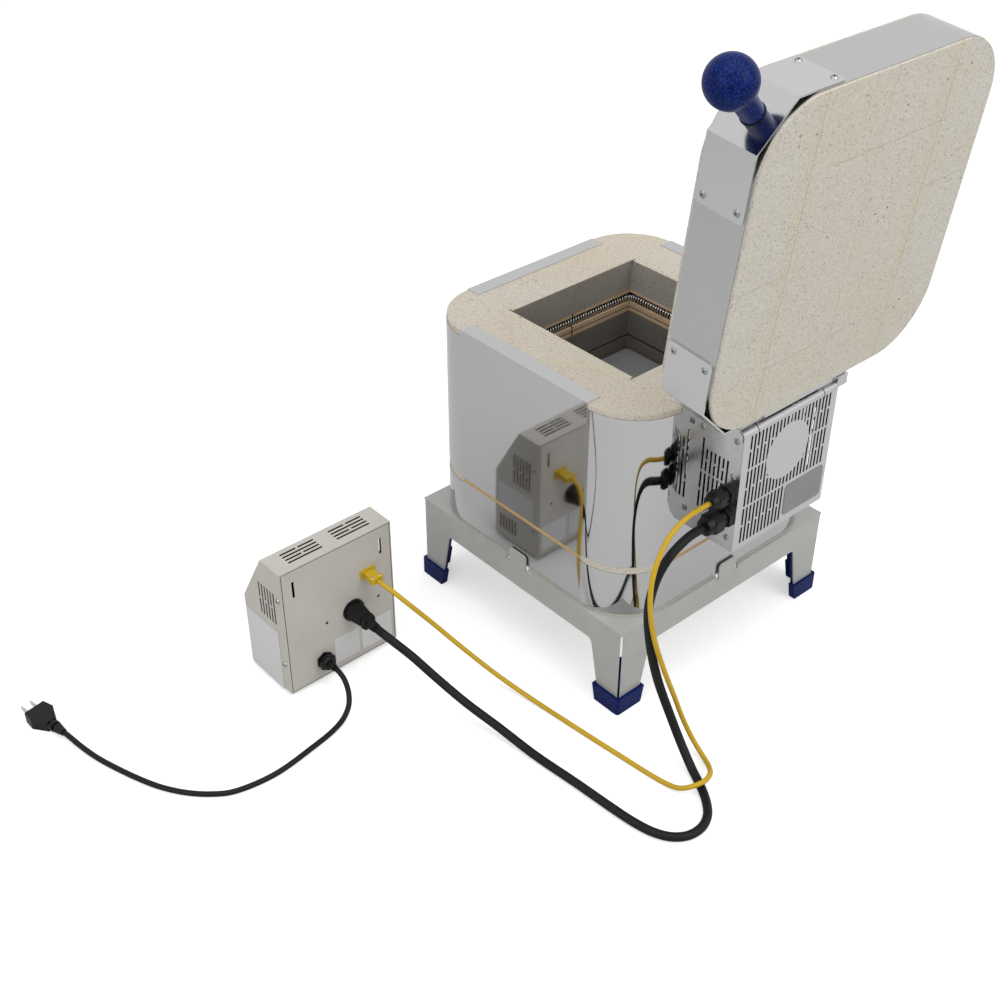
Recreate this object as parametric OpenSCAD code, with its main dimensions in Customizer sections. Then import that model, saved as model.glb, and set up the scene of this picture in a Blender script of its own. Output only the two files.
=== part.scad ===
// Electric kiln: firebrick body on a sheet stand, lid hinged at the back, element housing behind the body,
// and a separate control box joined to it by two cables. Millimetres. Front is -Y, the lid hinge is at +Y.

/* [Kiln body] */
// Outer side of the square, round-cornered body
body_side = 355.6; // [345:0.1:390]
// Corner radius of the body
corner_r = 72; // [60:0.5:75]
// Inner side of the square chamber
chamber_side = 203.2; // [190:0.1:215]
// Height of the base slab
base_h = 68; // [50:0.5:90]
// Height of the lower course of firebrick
lower_course_h = 103; // [90:0.5:130]
// Height of the upper course of firebrick
upper_course_h = 107; // [100:0.5:130]
// Thickness of the firebrick lid
lid_h = 66.8; // [55:0.1:85]
// How far the lid reaches past the front of the body
lid_over = 5.6; // [0:0.1:10]
// Angle of the lid at rest, open
open_deg = 96.4; // [92:0.1:100]

/* [Jacket] */
// Thickness of the polished jacket
jacket_t = 0.8; // [0.5:0.1:1.2]
// Width of the hem folded onto the rim
hem_w = 19.8; // [10:0.1:30]
// Brick standing above the jacket at the rounded corners
rim_show = 6.5; // [3:0.1:10]
// Brick showing above and below the seam at the rounded corners
seam_show = 4.8; // [3:0.1:8]
// Height of the seal strips in the seam
seal_h = 4.8; // [2:0.1:6]
// Depth of the seal strips
seal_d = 10; // [6:0.5:15]

/* [Elements] */
// Outer diameter of the wound heating wire
coil_d = 10; // [9:0.1:11]
// Diameter of the heating wire
wire_d = 2; // [1.4:0.1:2.4]
// Turns of the upper element
curls = 84; // [60:1:84]
// Height of the grooved element holders
holder_h = 30.5; // [28:0.1:34]
// Depth of the element holders in the brick
holder_d = 17; // [16:0.1:22]
// Depth of the groove that holds the coil
groove_d = 11.5; // [11:0.1:14]
// Height of the groove
groove_h = 14; // [13:0.1:15]
// Rim down to the upper coil's centre line
upper_row_drop = 54; // [45:0.5:60]
// Chamber floor up to the lower coil's centre line
lower_row_rise = 49.5; // [40:0.5:60]

/* [Shelf] */
// Thickness of the kiln shelf
shelf_t = 12; // [8:0.5:16]
// Gap between the shelf and the chamber walls
shelf_gap = 2.6; // [1:0.1:8]
// Height of the shelf posts
post_h = 73; // [40:0.5:85]
// Width of the square shelf posts
post_w = 25; // [15:0.5:35]

/* [Stand] */
// Height of the stand, floor to the top of its ledge
stand_h = 122.5; // [100:0.5:180]
// Thickness of the stand's sheet
stand_t = 2; // [1.5:0.1:3]
// Gap between the jacket and the locating tabs
stand_gap = 1.45; // [0.5:0.05:4]
// Height of the skirt
skirt_h = 36.5; // [25:0.5:60]
// Width of a leg at the skirt
leg_top_w = 48; // [40:0.5:70]
// Width of a leg at the floor
leg_foot_w = 32; // [28:0.5:45]
// Width of the ledge that carries the base
ledge_w = 45; // [30:0.5:70]
// Width of the locating tabs
tab_w = 30; // [20:0.5:50]
// Height of the locating tabs above the ledge
tab_h = 16; // [8:0.5:25]
// Height of a foot cap
foot_h = 24; // [15:0.5:35]
// Wall of a foot cap
foot_wall = 3.9; // [2.5:0.1:5]
// Foot cap's lining behind the leg: its top below the skirt's edge
lining_drop = 3.5; // [0:0.5:7]

/* [Hinge] */
// Hinge pivot behind the back of the body
pivot_out = 23; // [20:0.1:28]
// Hinge pivot above the rim
pivot_up = 4.7; // [2:0.1:8]
// Diameter of the hinge rod
rod_d = 6; // [5:0.1:8]
// Distance between the outer faces of the hinge ears
ears_span = 114; // [80:0.5:130]
// Thickness of the ears and lugs
ear_t = 3; // [2:0.1:4]

/* [Lid brackets] */
// Thickness of the bracket sheet
bracket_t = 2; // [1.5:0.1:3]
// Inset of the bracket edges from the faces of the lid
bracket_inset = 4.5; // [3.5:0.1:10]
// Arm of the front bracket along the side of the lid
front_side_arm = 109.9; // [95:0.1:140]
// Arm of the front bracket along the front of the lid
front_arm = 106.1; // [95:0.1:150]
// Arm of the hinge bracket along each side of the lid
hinge_side_arm = 100; // [90:0.5:140]
// Diameter of the ball knob
knob_d = 49; // [40:0.5:60]
// Diameter of the knob's neck
neck_d = 25; // [18:0.5:30]
// Distance from the bracket to the centre of the ball
knob_reach = 53.5; // [45:0.5:75]

/* [Element housing] */
// Width of the element housing
housing_w = 157; // [140:0.5:190]
// Depth of the element housing
housing_d = 66; // [60:0.5:80]
// Height of the element housing
housing_h = 159; // [150:0.5:165]
// Top of the housing below the rim
housing_drop = 13.5; // [12:0.1:18]
// Thickness of the housing's sheet
shell_t = 1.2; // [0.8:0.1:2]

/* [Vent slots] */
// Width of a vent slot
slot_w = 2.9; // [1.5:0.1:3.5]
// Spacing of the slot columns
slot_pitch = 6; // [5:0.1:8]
// Length of a full slot
slot_len = 47.5; // [40:0.5:48]
// Bridge of sheet between slots in line
slot_bridge = 3; // [2:0.1:5]
// Diameter of the plain round field in the housing panel
plain_d = 72; // [50:1:90]

/* [Control box] */
// Width of the control box
box_w = 159.4; // [150:0.1:200]
// Height of the control box above its feet
box_h = 183.5; // [175:0.5:210]
// Depth of the box at its top
box_top_d = 39.9; // [35:0.1:60]
// Depth of the box at its bottom
box_d = 86.1; // [80:0.1:100]
// Height of the upright part of the front
box_front_h = 104.5; // [95:0.5:115]
// Height of the rubber feet
box_foot_h = 6.2; // [4:0.1:10]
// Centre of the box to the right of the centre of the kiln
box_x = 379.2; // [370:0.1:420]
// Back of the box in front of the centre of the kiln
box_back = 96.7; // [80:0.1:99]
// Holes for a hanging bracket: distance between centres
bracket_holes = 77.5; // [60:0.5:100]
// Holes for a hanging bracket: diameter
bracket_hole_d = 4; // [3:0.1:5]

/* [Cords] */
// Diameter of the thermocouple cable
tc_cable_d = 6; // [4:0.1:7]
// Diameter of the power cable
power_cable_d = 10.5; // [8:0.1:11]
// Diameter of the mains lead
mains_cord_d = 6.6; // [5:0.1:8]

/* [Hidden] */
$fn = 64;

// Overrun of cuts past a face
cut = 1;
// Clearance between a part and the pocket it sits in
fit = 0.3;
// Clearance of a running fit, on the radius
run_fit = 0.05;
// Clearance between parts that lie beside each other
lie = 0.1;

// Heights and half widths of the body
half = body_side / 2;
brick_half = half - jacket_t;
brick_r = corner_r - jacket_t;
flat_half = half - corner_r;
chamber_half = chamber_side / 2;
seam_z = stand_h + base_h;
course_z = seam_z + lower_course_h;
rim_z = course_z + upper_course_h;
upper_row_z = rim_z - upper_row_drop;
lower_row_z = seam_z + lower_row_rise;
lid_gap = 0.3;
lid_z = rim_z + jacket_t + lid_gap;
lid_top = lid_z + lid_h;

// Details of the brickwork
kerf_w = 2;
kerf_len = 5;
kerf_h = 8;
joint_h = 2;
joint_d = 3;
base_show = 3;

// Seals in the seam
seal_end = 1.8;
seal_len = 2 * (flat_half - seal_end);
seal_inset = 0.3;

// Element rows
holder_below = 17.5;
holder_split = 2.2;
lip_h = 5.7;
lip_line = 1.6;
curl_r = (coil_d - wire_d) / 2;
coil_in = groove_d - coil_d / 2 - fit;
coil_half = chamber_half + coil_in;
coil_bend = 12;
tail_x = 8;
insulator_d = 8;
insulator_gap = 1;
post_inset = 12;

// Hinge
pivot_y = half + pivot_out;
pivot_z = rim_z + pivot_up;
boss_r = 8;
ear_x = ears_span / 2;
lug_gap = 0.4;
rod_over = 3;
rod_head = 2;
hinge_leaf_t = 2.5;
hinge_leaf_h = 20;
hinge_ear_foot = 12;

// Lid brackets
side_gap = 0.3;
band_edge = 3;
screw_d = 4;
head_d = 8;
head_h = 1.6;
socket_share = 0.19;
lid_screw_len = 14;
side_screw_inset = 9.5;
front_screw_inset = 8;
screw_edge = 8.4;
bracket_r = 5;

// Element housing
housing_half = housing_w / 2;
housing_y = half + housing_d;
housing_top = rim_z - housing_drop;
housing_z = housing_top - housing_h;
housing_bend = 8;
bend_y = housing_y - housing_bend;
bend_z = housing_top - housing_bend;
back_tab = 16;
back_t = 2;
flange_d = 14;
flange_t = 1.2;
block_w = 44;
block_d = 18;
block_h = 20;
bore_depth = 9;
block_y = half + back_t;
tail_end = block_y + bore_depth;

// Thermocouple
tc_x = 45;
tc_drop = 90;
tc_z = rim_z - tc_drop;
tc_d = 6;
tc_reach = 12;
tc_head = [24, 14, 16];

// Cable glands on the right side of the housing
gland_out = 52.2;
gland_rise_shares = [0.4717, 0.283];
gland_y = half + gland_out;
tc_gland_z = housing_z + housing_h * gland_rise_shares[0];
power_gland_z = housing_z + housing_h * gland_rise_shares[1];
tc_gland_len = 30.5;
power_gland_len = 36;
gland_in = 12.3;

// Lid stop behind the lid
stop_out = 58.2;
stop_y = half + stop_out;
stop_t = 2;
stop_foot = 12;
stop_right = 41;
stop_left = 96;
stop_hook = 8;
stop_hook_d = 6;

// Control box
box_y = -box_back;
box_z = box_foot_h;
box_half = box_w / 2;
slope_run = box_d - box_top_d;
slope_rise = box_h - box_front_h;
slope_len = sqrt(slope_run * slope_run + slope_rise * slope_rise);
slope_deg = atan2(slope_run, slope_rise);
outlet_x = -17.5;
outlet_z = 80.3;
outlet_r = 15;
jack_x = -41.7;
jack_z = 125.5;
jack_w = 21;
jack_h = 12.6;
mains_x = 29.8;
mains_z = 27.5;
hang_x = 63;
hang_z = 143;
hang_len = 23;
hang_w = 3.4;

// A point of the slanted front in the box's frame: across, up the slope and out of it
function slope_pt(x, s, n) = [x, (s * slope_run - n * slope_rise) / slope_len - box_d,
    (s * slope_rise + n * slope_run) / slope_len + box_front_h];
slope_in = [0, slope_rise, -slope_run] / slope_len;

// Parts on the slanted front, across and up the slope from its lower edge
panel_x = -24;
panel_w = 96;
panel_h = 66;
panel_s = 46;
panel_t = 1.5;
display_w = 56;
display_h = 22;
display_s = 62;
display_t = 1;
key_r = 6;
key_s = 29;
key_travel = 1;
key_stand = 2.2;
key_pitch = 24;
key_x = panel_x - key_pitch;
switch_x = 52;
switch_s = 46;
switch_w = 21;
switch_h = 28;
switch_rim = 1.6;
switch_deep = 22;
rocker_w = 13;
rocker_h = 20;
rocker_deg = 7;

// The origin lies under the middle of the kiln and box together, cords left out
foot_half = half + stand_gap + stand_t + foot_wall;
lid_reach = open_pt(-brick_half - lid_over, lid_top)[0];
kiln_x = -(box_x + box_half + head_h - foot_half) / 2;
kiln_y = -(lid_reach - foot_half) / 2;

// Cord routes from the middle of the kiln's footprint, heights above the floor
TC_ROUTE = [[138, 230, 302.5], [156, 231, 299.5], [172, 232, 291.5], [186, 234, 279], [197, 236, 261],
    [203, 238, 239], [203.5, 241, 205], [198, 245, 168], [185, 250, 122], [170, 257, 75], [162, 265, 43],
    [159, 276, 23], [159, 289, 11], [162, 303, 6], [169, 317, 7], [180, 328, 12], [194, 333, 15],
    [208, 330, 14], [218, 319, 8], [222, 303, 4], [231, 230, 3],
    [247, 90, 6], [259, 45, 19], [278, 8, 46], [302, -20, 82], [323, -38, 112], [331, -49, 123.5],
    [335.5, -59, 129.5]];
POWER_ROUTE = [[152, 231, 270], [168, 231, 262], [180, 230, 248], [188, 229, 230], [194, 229, 200],
    [193, 234, 155], [187, 244, 104], [180, 264, 52], [181, 285, 23], [187, 307, 8], [199, 333, 5.5],
    [210, 350, 5.5], [223.5, 364, 5.5], [241, 371.5, 5.5], [260, 370, 5.5], [275, 360, 5.5],
    [285, 344, 5.5], [291.5, 320, 5.5], [300, 230, 5.5], [306, 170, 6], [313, 115, 14], [324, 70, 27],
    [335, 30, 45], [347, -2, 66], [356, -17, 79], [360, -28, 84.5]];
MAINS_ROUTE = [[410, -55, 30], [414, -42, 21], [422, -31.5, 12], [436, -23.5, 5.5], [455, -17, 3.5],
    [492, -10, 3.5], [550, -4, 3.5], [598, -13, 3.5], [618, -26, 3.5], [636, -44, 3.5],
    [652, -67, 3.5], [665, -94, 3.5], [685, -153, 3.5], [692, -184, 4.5]];
MAINS_END = [698, -219];

// A point of the closed lid, seen along the hinge rod, in the open position
function open_pt(y, z) = let (a = y - pivot_y, b = z - pivot_z)
    [pivot_y + a * cos(open_deg) + b * sin(open_deg), pivot_z - a * sin(open_deg) + b * cos(open_deg)];

function unit(v) = v / norm(v);

// Direction of a path at its point i, from the neighbours on both sides
function heading(path, i) = unit(path[min(i + 1, len(path) - 1)] - path[max(i - 1, 0)]);

// One unbroken tube along a path; side gives a direction at each point that the path never runs along
module tube(path, r, sides, side) {
    last = len(path) - 1;
    rings = [for (i = [0 : last]) let (t = heading(path, i), u = unit(side[i] - (side[i] * t) * t),
        v = cross(t, u)) for (j = [0 : sides - 1]) path[i] + r * (cos(360 * j / sides) * u
        + sin(360 * j / sides) * v)];
    walls = [for (i = [0 : last - 1]) for (j = [0 : sides - 1]) let (a = i * sides + j,
        b = i * sides + (j + 1) % sides) each [[a, a + sides, b], [b, a + sides, b + sides]]];
    ends = [for (j = [1 : sides - 2]) each [[0, j, j + 1],
        [last * sides, last * sides + j + 1, last * sides + j]]];
    polyhedron(rings, concat(walls, ends));
}

// A tube along a free route
module lead(path, r, sides) tube(path, r, sides, [for (p = path) [1, 1.4, 2.8]]);

// Points of a lead that leaves a in direction u and meets b against direction v
function sweep(a, u, b, v, reach) = let (p = a + lead_step * u, q = b + lead_step * v,
    c = p + reach * u, d = q + reach * v)
    concat([a], [for (i = [0 : lead_bends]) let (t = i / lead_bends, w = 1 - t)
        w * w * (w * p + 3 * t * c) + t * t * (3 * w * d + t * q)], [b]);

// Outline of a square with round corners
module round_square(h, r, over = 0) {
    translate([-h, r - h - over]) square([2 * h, 2 * (h - r) + over]);
    translate([r - h, -h - over]) square([2 * (h - r), 2 * h + over]);
    for (x = [-1, 1], y = [h - r, r - h - over]) translate([x * (h - r), y]) circle(r, $fn = 128);
}

// Outline of an oblong with round corners, centred
module round_plate(w, h, r) {
    square([w, h - 2 * r], center = true);
    square([w - 2 * r, h], center = true);
    for (x = [-1, 1], y = [-1, 1]) translate([x * (w / 2 - r), y * (h / 2 - r)]) circle(r);
}

module slab(h, r, z0, z1, over = 0) translate([0, 0, z0]) linear_extrude(z1 - z0) round_square(h, r, over);

module four_sides() for (a = [0 : 90 : 270]) rotate(a) children();

module at_kiln() translate([kiln_x, kiln_y, 0]) children();

module at_lid() at_kiln() translate([0, pivot_y, pivot_z]) rotate([-open_deg, 0, 0])
    translate([0, -pivot_y, -pivot_z]) children();

module at_box() translate([kiln_x + box_x, kiln_y + box_y, box_z]) children();

// Frame on the slanted front: x across, y up the slope, z outwards
module at_slope() at_box() translate([0, -box_d, box_front_h]) rotate([90 - slope_deg, 0, 0]) children();

// A cylinder along +X or +Y from a point
module rod_x(at, r, len) translate(at) rotate([0, 90, 0]) cylinder(h = len, r = r);
module rod_y(at, r, len) translate(at) rotate([-90, 0, 0]) cylinder(h = len, r = r);

// Stand: ledge, skirt, tapered legs and lanced tabs in one sheet
stand_half = half + stand_gap + stand_t;
foot_floor = 3;
leg_bend = 8;
corner_slit = 2.6;
tab_r = 5;
tab_relief = 4;
relief_h = 5;

module leg_opening() {
    top = stand_half - leg_top_w;
    foot = stand_half - leg_foot_w;
    height = stand_h - skirt_h;
    polygon([[-foot, -cut], [foot, -cut], [top, height - leg_bend], [-top, height - leg_bend]]);
    translate([-(top - leg_bend), height - leg_bend - cut])
        square([2 * (top - leg_bend), leg_bend + cut]);
    for (x = [-1, 1]) translate([x * (top - leg_bend), height - leg_bend]) circle(leg_bend);
}

module locating_tab() {
    translate([0, stand_half, stand_h]) rotate([90, 0, 0]) linear_extrude(stand_t) {
        translate([-tab_w / 2, 0]) square([tab_w, tab_h - tab_r]);
        translate([-tab_w / 2 + tab_r, 0]) square([tab_w - 2 * tab_r, tab_h]);
        for (x = [-1, 1]) translate([x * (tab_w / 2 - tab_r), tab_h - tab_r]) circle(tab_r);
    }
}

module stand() color("silver") at_kiln() {
    inside = stand_half - stand_t;
    hole = stand_half - ledge_w;
    difference() {
        translate([-stand_half, -stand_half, foot_floor])
            cube([2 * stand_half, 2 * stand_half, stand_h - foot_floor]);
        translate([-inside, -inside, foot_floor - cut])
            cube([2 * inside, 2 * inside, stand_h - stand_t - foot_floor + cut]);
        translate([-hole, -hole, 0]) cube([2 * hole, 2 * hole, stand_h + cut]);
        for (a = [0, 90]) rotate(a) translate([0, stand_half + cut, 0]) rotate([90, 0, 0])
            linear_extrude(2 * (stand_half + cut)) leg_opening();
        four_sides() translate([stand_half, stand_half, 0]) rotate(45)
            cube([6 * stand_t, corner_slit, 2 * (stand_h - stand_t)], center = true);
        four_sides() for (x = [-1, 1])
            translate([x * (tab_w / 2 + tab_relief / 2) - tab_relief / 2, stand_half - relief_h,
                stand_h - relief_h]) cube([tab_relief, relief_h + cut, relief_h + cut]);
        four_sides() translate([-tab_w / 2, stand_half - stand_t - tab_h, stand_h - stand_t - cut])
            cube([tab_w, tab_h, stand_t + 2 * cut]);
    }
    four_sides() locating_tab();
}

// Foot caps: moulded sockets pushed onto the leg ends, each with a lining that rises behind the leg
foot_end = 3.5;
foot_t = stand_t + 2 * foot_wall;
foot_r = 4;
leg_bend_z = stand_h - skirt_h - leg_bend;

// Width of a leg at a height up to its bend
function leg_w(z) = leg_foot_w + (leg_top_w - leg_foot_w) * (z + cut) / (leg_bend_z + cut);
foot_arm = foot_wall + leg_w(foot_h) + foot_end;

module foot_outline() {
    difference() {
        union() {
            translate([-foot_arm, -foot_t]) square([foot_arm, foot_t]);
            translate([-foot_t, -foot_arm]) square([foot_t, foot_arm]);
        }
        translate([-foot_r, -foot_r]) square(foot_r + cut);
    }
    translate([-foot_r, -foot_r]) circle(foot_r);
}

// Side view along a leg, from a distance off the corner to a little past the leg's slanted edge
module foot_side(from, past, z0, z1)
    polygon([[from, z0], [foot_wall + leg_w(z0) + past, z0], [foot_wall + leg_w(z1) + past, z1], [from, z1]]);

// Both arms of a side view, between two distances in from the outer faces
module foot_arms(near, far) {
    translate([-far, 0, 0]) rotate([90, 0, 90]) linear_extrude(far - near) mirror([1, 0]) children();
    translate([0, -near, 0]) rotate([90, 0, 0]) linear_extrude(far - near) mirror([1, 0]) children();
}

module foot_cap(i) color("midnightblue") at_kiln() rotate(90 * i) translate([foot_half, foot_half, 0]) {
    post = foot_wall + stand_t + lie;
    difference() {
        intersection() {
            linear_extrude(foot_h) foot_outline();
            foot_arms(0, foot_t) foot_side(0, foot_end, 0, foot_h);
        }
        foot_arms(foot_wall - lie, post) foot_side(foot_wall - lie, lie, foot_floor, foot_h + cut);
    }
    foot_arms(post, foot_t) {
        foot_side(post, 0, 0, leg_bend_z);
        translate([post, leg_bend_z - cut])
            square([foot_wall + leg_top_w - post, leg_bend - lining_drop + cut]);
    }
}

// Brickwork, jackets and seals
module seal_rebates() four_sides()
    translate([-seal_len / 2 - fit, half - seal_d - fit, seam_z - seal_h / 2])
        cube([seal_len + 2 * fit, seal_d + fit + cut, seal_h]);

// Block over each rounded corner, which trims the jackets there
module corner_blocks(z0, z1) four_sides() translate([flat_half, flat_half, z0])
    cube([corner_r + cut, corner_r + cut, z1 - z0]);

module jacket_ring(z0, z1, over = 0) difference() {
    slab(half, corner_r, z0, z1, over);
    slab(brick_half, brick_r, z0 - cut, z1 + cut, over);
}

module base_brick() color("wheat") at_kiln() difference() {
    slab(brick_half, brick_r, stand_h, seam_z);
    seal_rebates();
}

module base_jacket() color("gainsboro") at_kiln() difference() {
    jacket_ring(stand_h + base_show, seam_z - seal_h / 2);
    corner_blocks(seam_z - seam_show, seam_z);
}

module seam_seals() color("peru") at_kiln() four_sides()
    translate([-seal_len / 2, half - seal_d, seam_z - seal_h / 2])
        cube([seal_len, seal_d - seal_inset, seal_h]);

// Square pocket for a row of element holders
module holder_pocket(z) translate([0, 0, z - holder_below - fit])
    linear_extrude(holder_h + 2 * fit) square(2 * (chamber_half + holder_d + fit), center = true);

// Holes through the back wall for the two tails of an element
module tail_holes(z, r) for (x = [-1, 1])
    rod_y([x * tail_x, chamber_half, z - x * curl_r], r, tail_end - chamber_half);

module tc_hole(r) rod_y([tc_x, chamber_half - cut, tc_z], r, tail_end - chamber_half);

module brick_ring(z0, z1) difference() {
    slab(brick_half, brick_r, z0, z1);
    translate([-chamber_half, -chamber_half, z0 - cut])
        cube([chamber_side, chamber_side, z1 - z0 + 2 * cut]);
}

module joint_groove() translate([0, 0, course_z - joint_h / 2]) linear_extrude(joint_h)
    square(2 * (chamber_half + joint_d), center = true);

module lower_brick() color("wheat") at_kiln() difference() {
    brick_ring(seam_z, course_z);
    seal_rebates();
    holder_pocket(lower_row_z);
    tail_holes(lower_row_z, insulator_d / 2 + fit);
    joint_groove();
}

module upper_brick() color("wheat") at_kiln() difference() {
    brick_ring(course_z, rim_z);
    holder_pocket(upper_row_z);
    tail_holes(upper_row_z, insulator_d / 2 + fit);
    tc_hole(tc_d / 2 + fit);
    joint_groove();
    four_sides() translate([chamber_half - cut, chamber_half - kerf_w, rim_z - kerf_h])
        cube([kerf_len + cut, kerf_w, kerf_h + cut]);
}

module body_jacket() color("gainsboro") at_kiln() {
    difference() {
        jacket_ring(seam_z + seal_h / 2, rim_z + jacket_t);
        corner_blocks(seam_z, seam_z + seam_show);
        corner_blocks(rim_z - rim_show, rim_z + jacket_t + cut);
        for (z = [lower_row_z, upper_row_z]) tail_holes(z, insulator_d / 2 + fit);
        tc_hole(tc_d / 2 + fit);
    }
    four_sides() translate([-flat_half, half - hem_w, rim_z]) cube([2 * flat_half, hem_w, jacket_t]);
}

// Element holders: two grooved bars on each wall, mitred at the corners
module holder_profile() {
    floor_z = -coil_d / 2 - fit;
    foot_z = -holder_below;
    top_z = foot_z + holder_h;
    line_z = floor_z - lip_h;
    polygon([[0, foot_z], [0, line_z - lip_line], [joint_d, line_z - lip_line], [joint_d, line_z],
        [0, line_z], [0, floor_z], [groove_d, floor_z], [groove_d, floor_z + groove_h],
        [0, floor_z + groove_h], [0, top_z], [holder_d, top_z], [holder_d, foot_z]]);
}

module holder_bar(z) {
    far = chamber_half + holder_d;
    gap = holder_split / 2;
    intersection() {
        translate([0, chamber_half, z]) rotate([90, 0, 90]) linear_extrude(far + cut) holder_profile();
        translate([0, 0, z - holder_h]) linear_extrude(2 * holder_h)
            polygon([[gap, gap + lie], [gap, far + cut], [far + cut - lie, far + cut]]);
    }
}

module element_holders() color("tan") at_kiln() difference() {
    for (z = [lower_row_z, upper_row_z]) four_sides() for (m = [0, 1]) mirror([m, 0, 0]) holder_bar(z);
    for (z = [lower_row_z, upper_row_z]) tail_holes(z, wire_d / 2 + fit);
}

// Path round the chamber at the coil's centre line, from the middle of the back wall, seen from above
coil_flat = coil_half - coil_bend;
coil_arc = PI * coil_bend / 2;
coil_side = 2 * coil_flat + coil_arc;
coil_round = 4 * coil_side;

function spin(p, a) = [p[0] * cos(a) - p[1] * sin(a), p[0] * sin(a) + p[1] * cos(a)];

// Place and turn of the path at a distance s: the straight of one side, then its corner
function coil_path(s) = let (u = s + coil_flat, k = floor(u / coil_side), v = u - k * coil_side,
    turn = max(0, v - 2 * coil_flat) / coil_arc * 90,
    at = v < 2 * coil_flat ? [coil_flat - v, coil_half]
        : [-coil_flat, coil_flat] + coil_bend * [cos(90 + turn), sin(90 + turn)])
    [spin(at, 90 * k), 90 * k + turn];

// Wire of the upper element: in at the top of the coil, round the chamber, out at its bottom
curl_steps = 8;
curl_turns = curls + 0.5;
coil_run = coil_round - 2 * tail_x;
function coil_wire(i) = let (share = i / (curl_steps * curl_turns),
    c = coil_path(tail_x + coil_run * share), a = 90 + 360 * curl_turns * share, n = 90 + c[1])
    [c[0][0] + curl_r * cos(a) * cos(n), c[0][1] + curl_r * cos(a) * sin(n), upper_row_z + curl_r * sin(a)];
WIRE = [for (i = [0 : curl_steps * curl_turns]) coil_wire(i)];
WIRE_SIDE = [for (i = [0 : curl_steps * curl_turns])
    let (n = 180 + coil_path(tail_x + coil_run * i / (curl_steps * curl_turns))[1]) [cos(n), sin(n), 0]];
tail_points = [tail_end, coil_half + curl_r + 2 * wire_d];
TAIL_IN = [for (y = tail_points) [-tail_x, y, upper_row_z + curl_r]];
TAIL_OUT = [for (y = [tail_points[1], tail_points[0]]) [tail_x, y, upper_row_z - curl_r]];

// Least gap between turns, from each point to those of the next turn, and between the two ends
function least_gap() = let (n = len(WIRE)) min(concat(
    [for (i = [0 : n - 1]) for (k = [curl_steps - 3 : curl_steps + 3]) if (i + k < n)
        norm(WIRE[i] - WIRE[i + k])],
    [for (i = [0 : 2 * curl_steps]) for (k = [1 : 2 * curl_steps]) norm(WIRE[i] - WIRE[n - k])])) - wire_d;

module upper_element() {
    echo(upper_element_least_gap = least_gap());
    color("dimgray") at_kiln() tube(concat(TAIL_IN, WIRE, TAIL_OUT), wire_d / 2, 6,
        concat([[-1, 0, 0], [-1, 0, 0]], WIRE_SIDE, [[-1, 0, 0], [-1, 0, 0]]));
}

// Lower element, out of sight under the shelf: the outer shape of the same winding
module lower_element() color("dimgray") at_kiln() translate([0, 0, lower_row_z]) {
    r = coil_d / 2;
    four_sides() translate([coil_flat, coil_flat, 0]) rotate_extrude(angle = 90)
        translate([coil_bend, 0]) circle(r);
    for (a = [90, 180, 270]) rotate(a) rod_x([-coil_flat, coil_half, 0], r, 2 * coil_flat);
    for (m = [0, 1]) mirror([m, 0, 0])
        rod_x([tail_x - wire_d, coil_half, 0], r, coil_flat - tail_x + wire_d);
    for (x = [-1, 1]) rod_y([x * tail_x, coil_half, -x * curl_r], wire_d / 2, tail_end - coil_half);
}

// Porcelain tubes through the back wall, one to each tail
module element_insulators() color("ivory") at_kiln() for (z = [lower_row_z, upper_row_z]) difference() {
    start = chamber_half + holder_d + fit;
    for (x = [-1, 1]) rod_y([x * tail_x, start, z - x * curl_r], insulator_d / 2, block_y - start);
    tail_holes(z, (wire_d + insulator_gap) / 2);
}

// Kiln shelf on its four posts
module kiln_shelf() color("lightsteelblue") at_kiln() translate([0, 0, seam_z + post_h])
    linear_extrude(shelf_t) round_square(chamber_half - shelf_gap, post_inset / 2);

module shelf_posts() color("tan") at_kiln() for (x = [-1, 1], y = [-1, 1]) {
    at = chamber_half - shelf_gap - post_inset - post_w / 2;
    translate([x * at - post_w / 2, y * at - post_w / 2, seam_z]) cube([post_w, post_w, post_h]);
}

// Thermocouple: sheath through the back wall and its connection head
module thermocouple() color("sienna") at_kiln() {
    rod_y([tc_x, chamber_half - tc_reach, tc_z], tc_d / 2, block_y + cut - chamber_half + tc_reach);
    translate([tc_x - tc_head[0] / 2, block_y, tc_z - tc_head[2] / 2]) cube(tc_head);
}

// Element housing: back plate, shell and perforated panel
back_half = housing_half - shell_t - lie;

module housing_back() color("silver") at_kiln() difference() {
    low = housing_z + shell_t + lie;
    high = housing_h - 2 * (shell_t + lie);
    union() {
        translate([-back_half, half, low]) cube([2 * back_half, back_t, high]);
        for (m = [0, 1]) mirror([m, 0, 0]) for (share = shell_screw_shares)
            translate([back_half - flange_t, half, housing_z + housing_h * share - back_tab / 2])
                cube([flange_t, flange_d, back_tab]);
    }
    for (z = [lower_row_z, upper_row_z]) tail_holes(z, insulator_d / 2 + fit);
    tc_hole(tc_d / 2 + fit);
    side_screw_holes();
}

// The housing's side screws: heights as shares of its height, and distances from its panel and back
panel_screw_shares = [0.1, 0.615, 0.906];
shell_screw_shares = [0.14, 0.88];
panel_screw_in = 10;
shell_screw_in = 8;
panel_screw_y = housing_y - panel_screw_in;
shell_screw_y = half + shell_screw_in;
side_screw_len = 6;

module side_screws_at() for (m = [0, 1]) mirror([m, 0, 0]) {
    for (share = panel_screw_shares)
        translate([housing_half, panel_screw_y, housing_z + housing_h * share]) children();
    for (share = shell_screw_shares)
        translate([housing_half, shell_screw_y, housing_z + housing_h * share]) children();
}

module side_screw_holes() side_screws_at() rotate([0, 90, 0]) screw_hole(side_screw_len);

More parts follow.
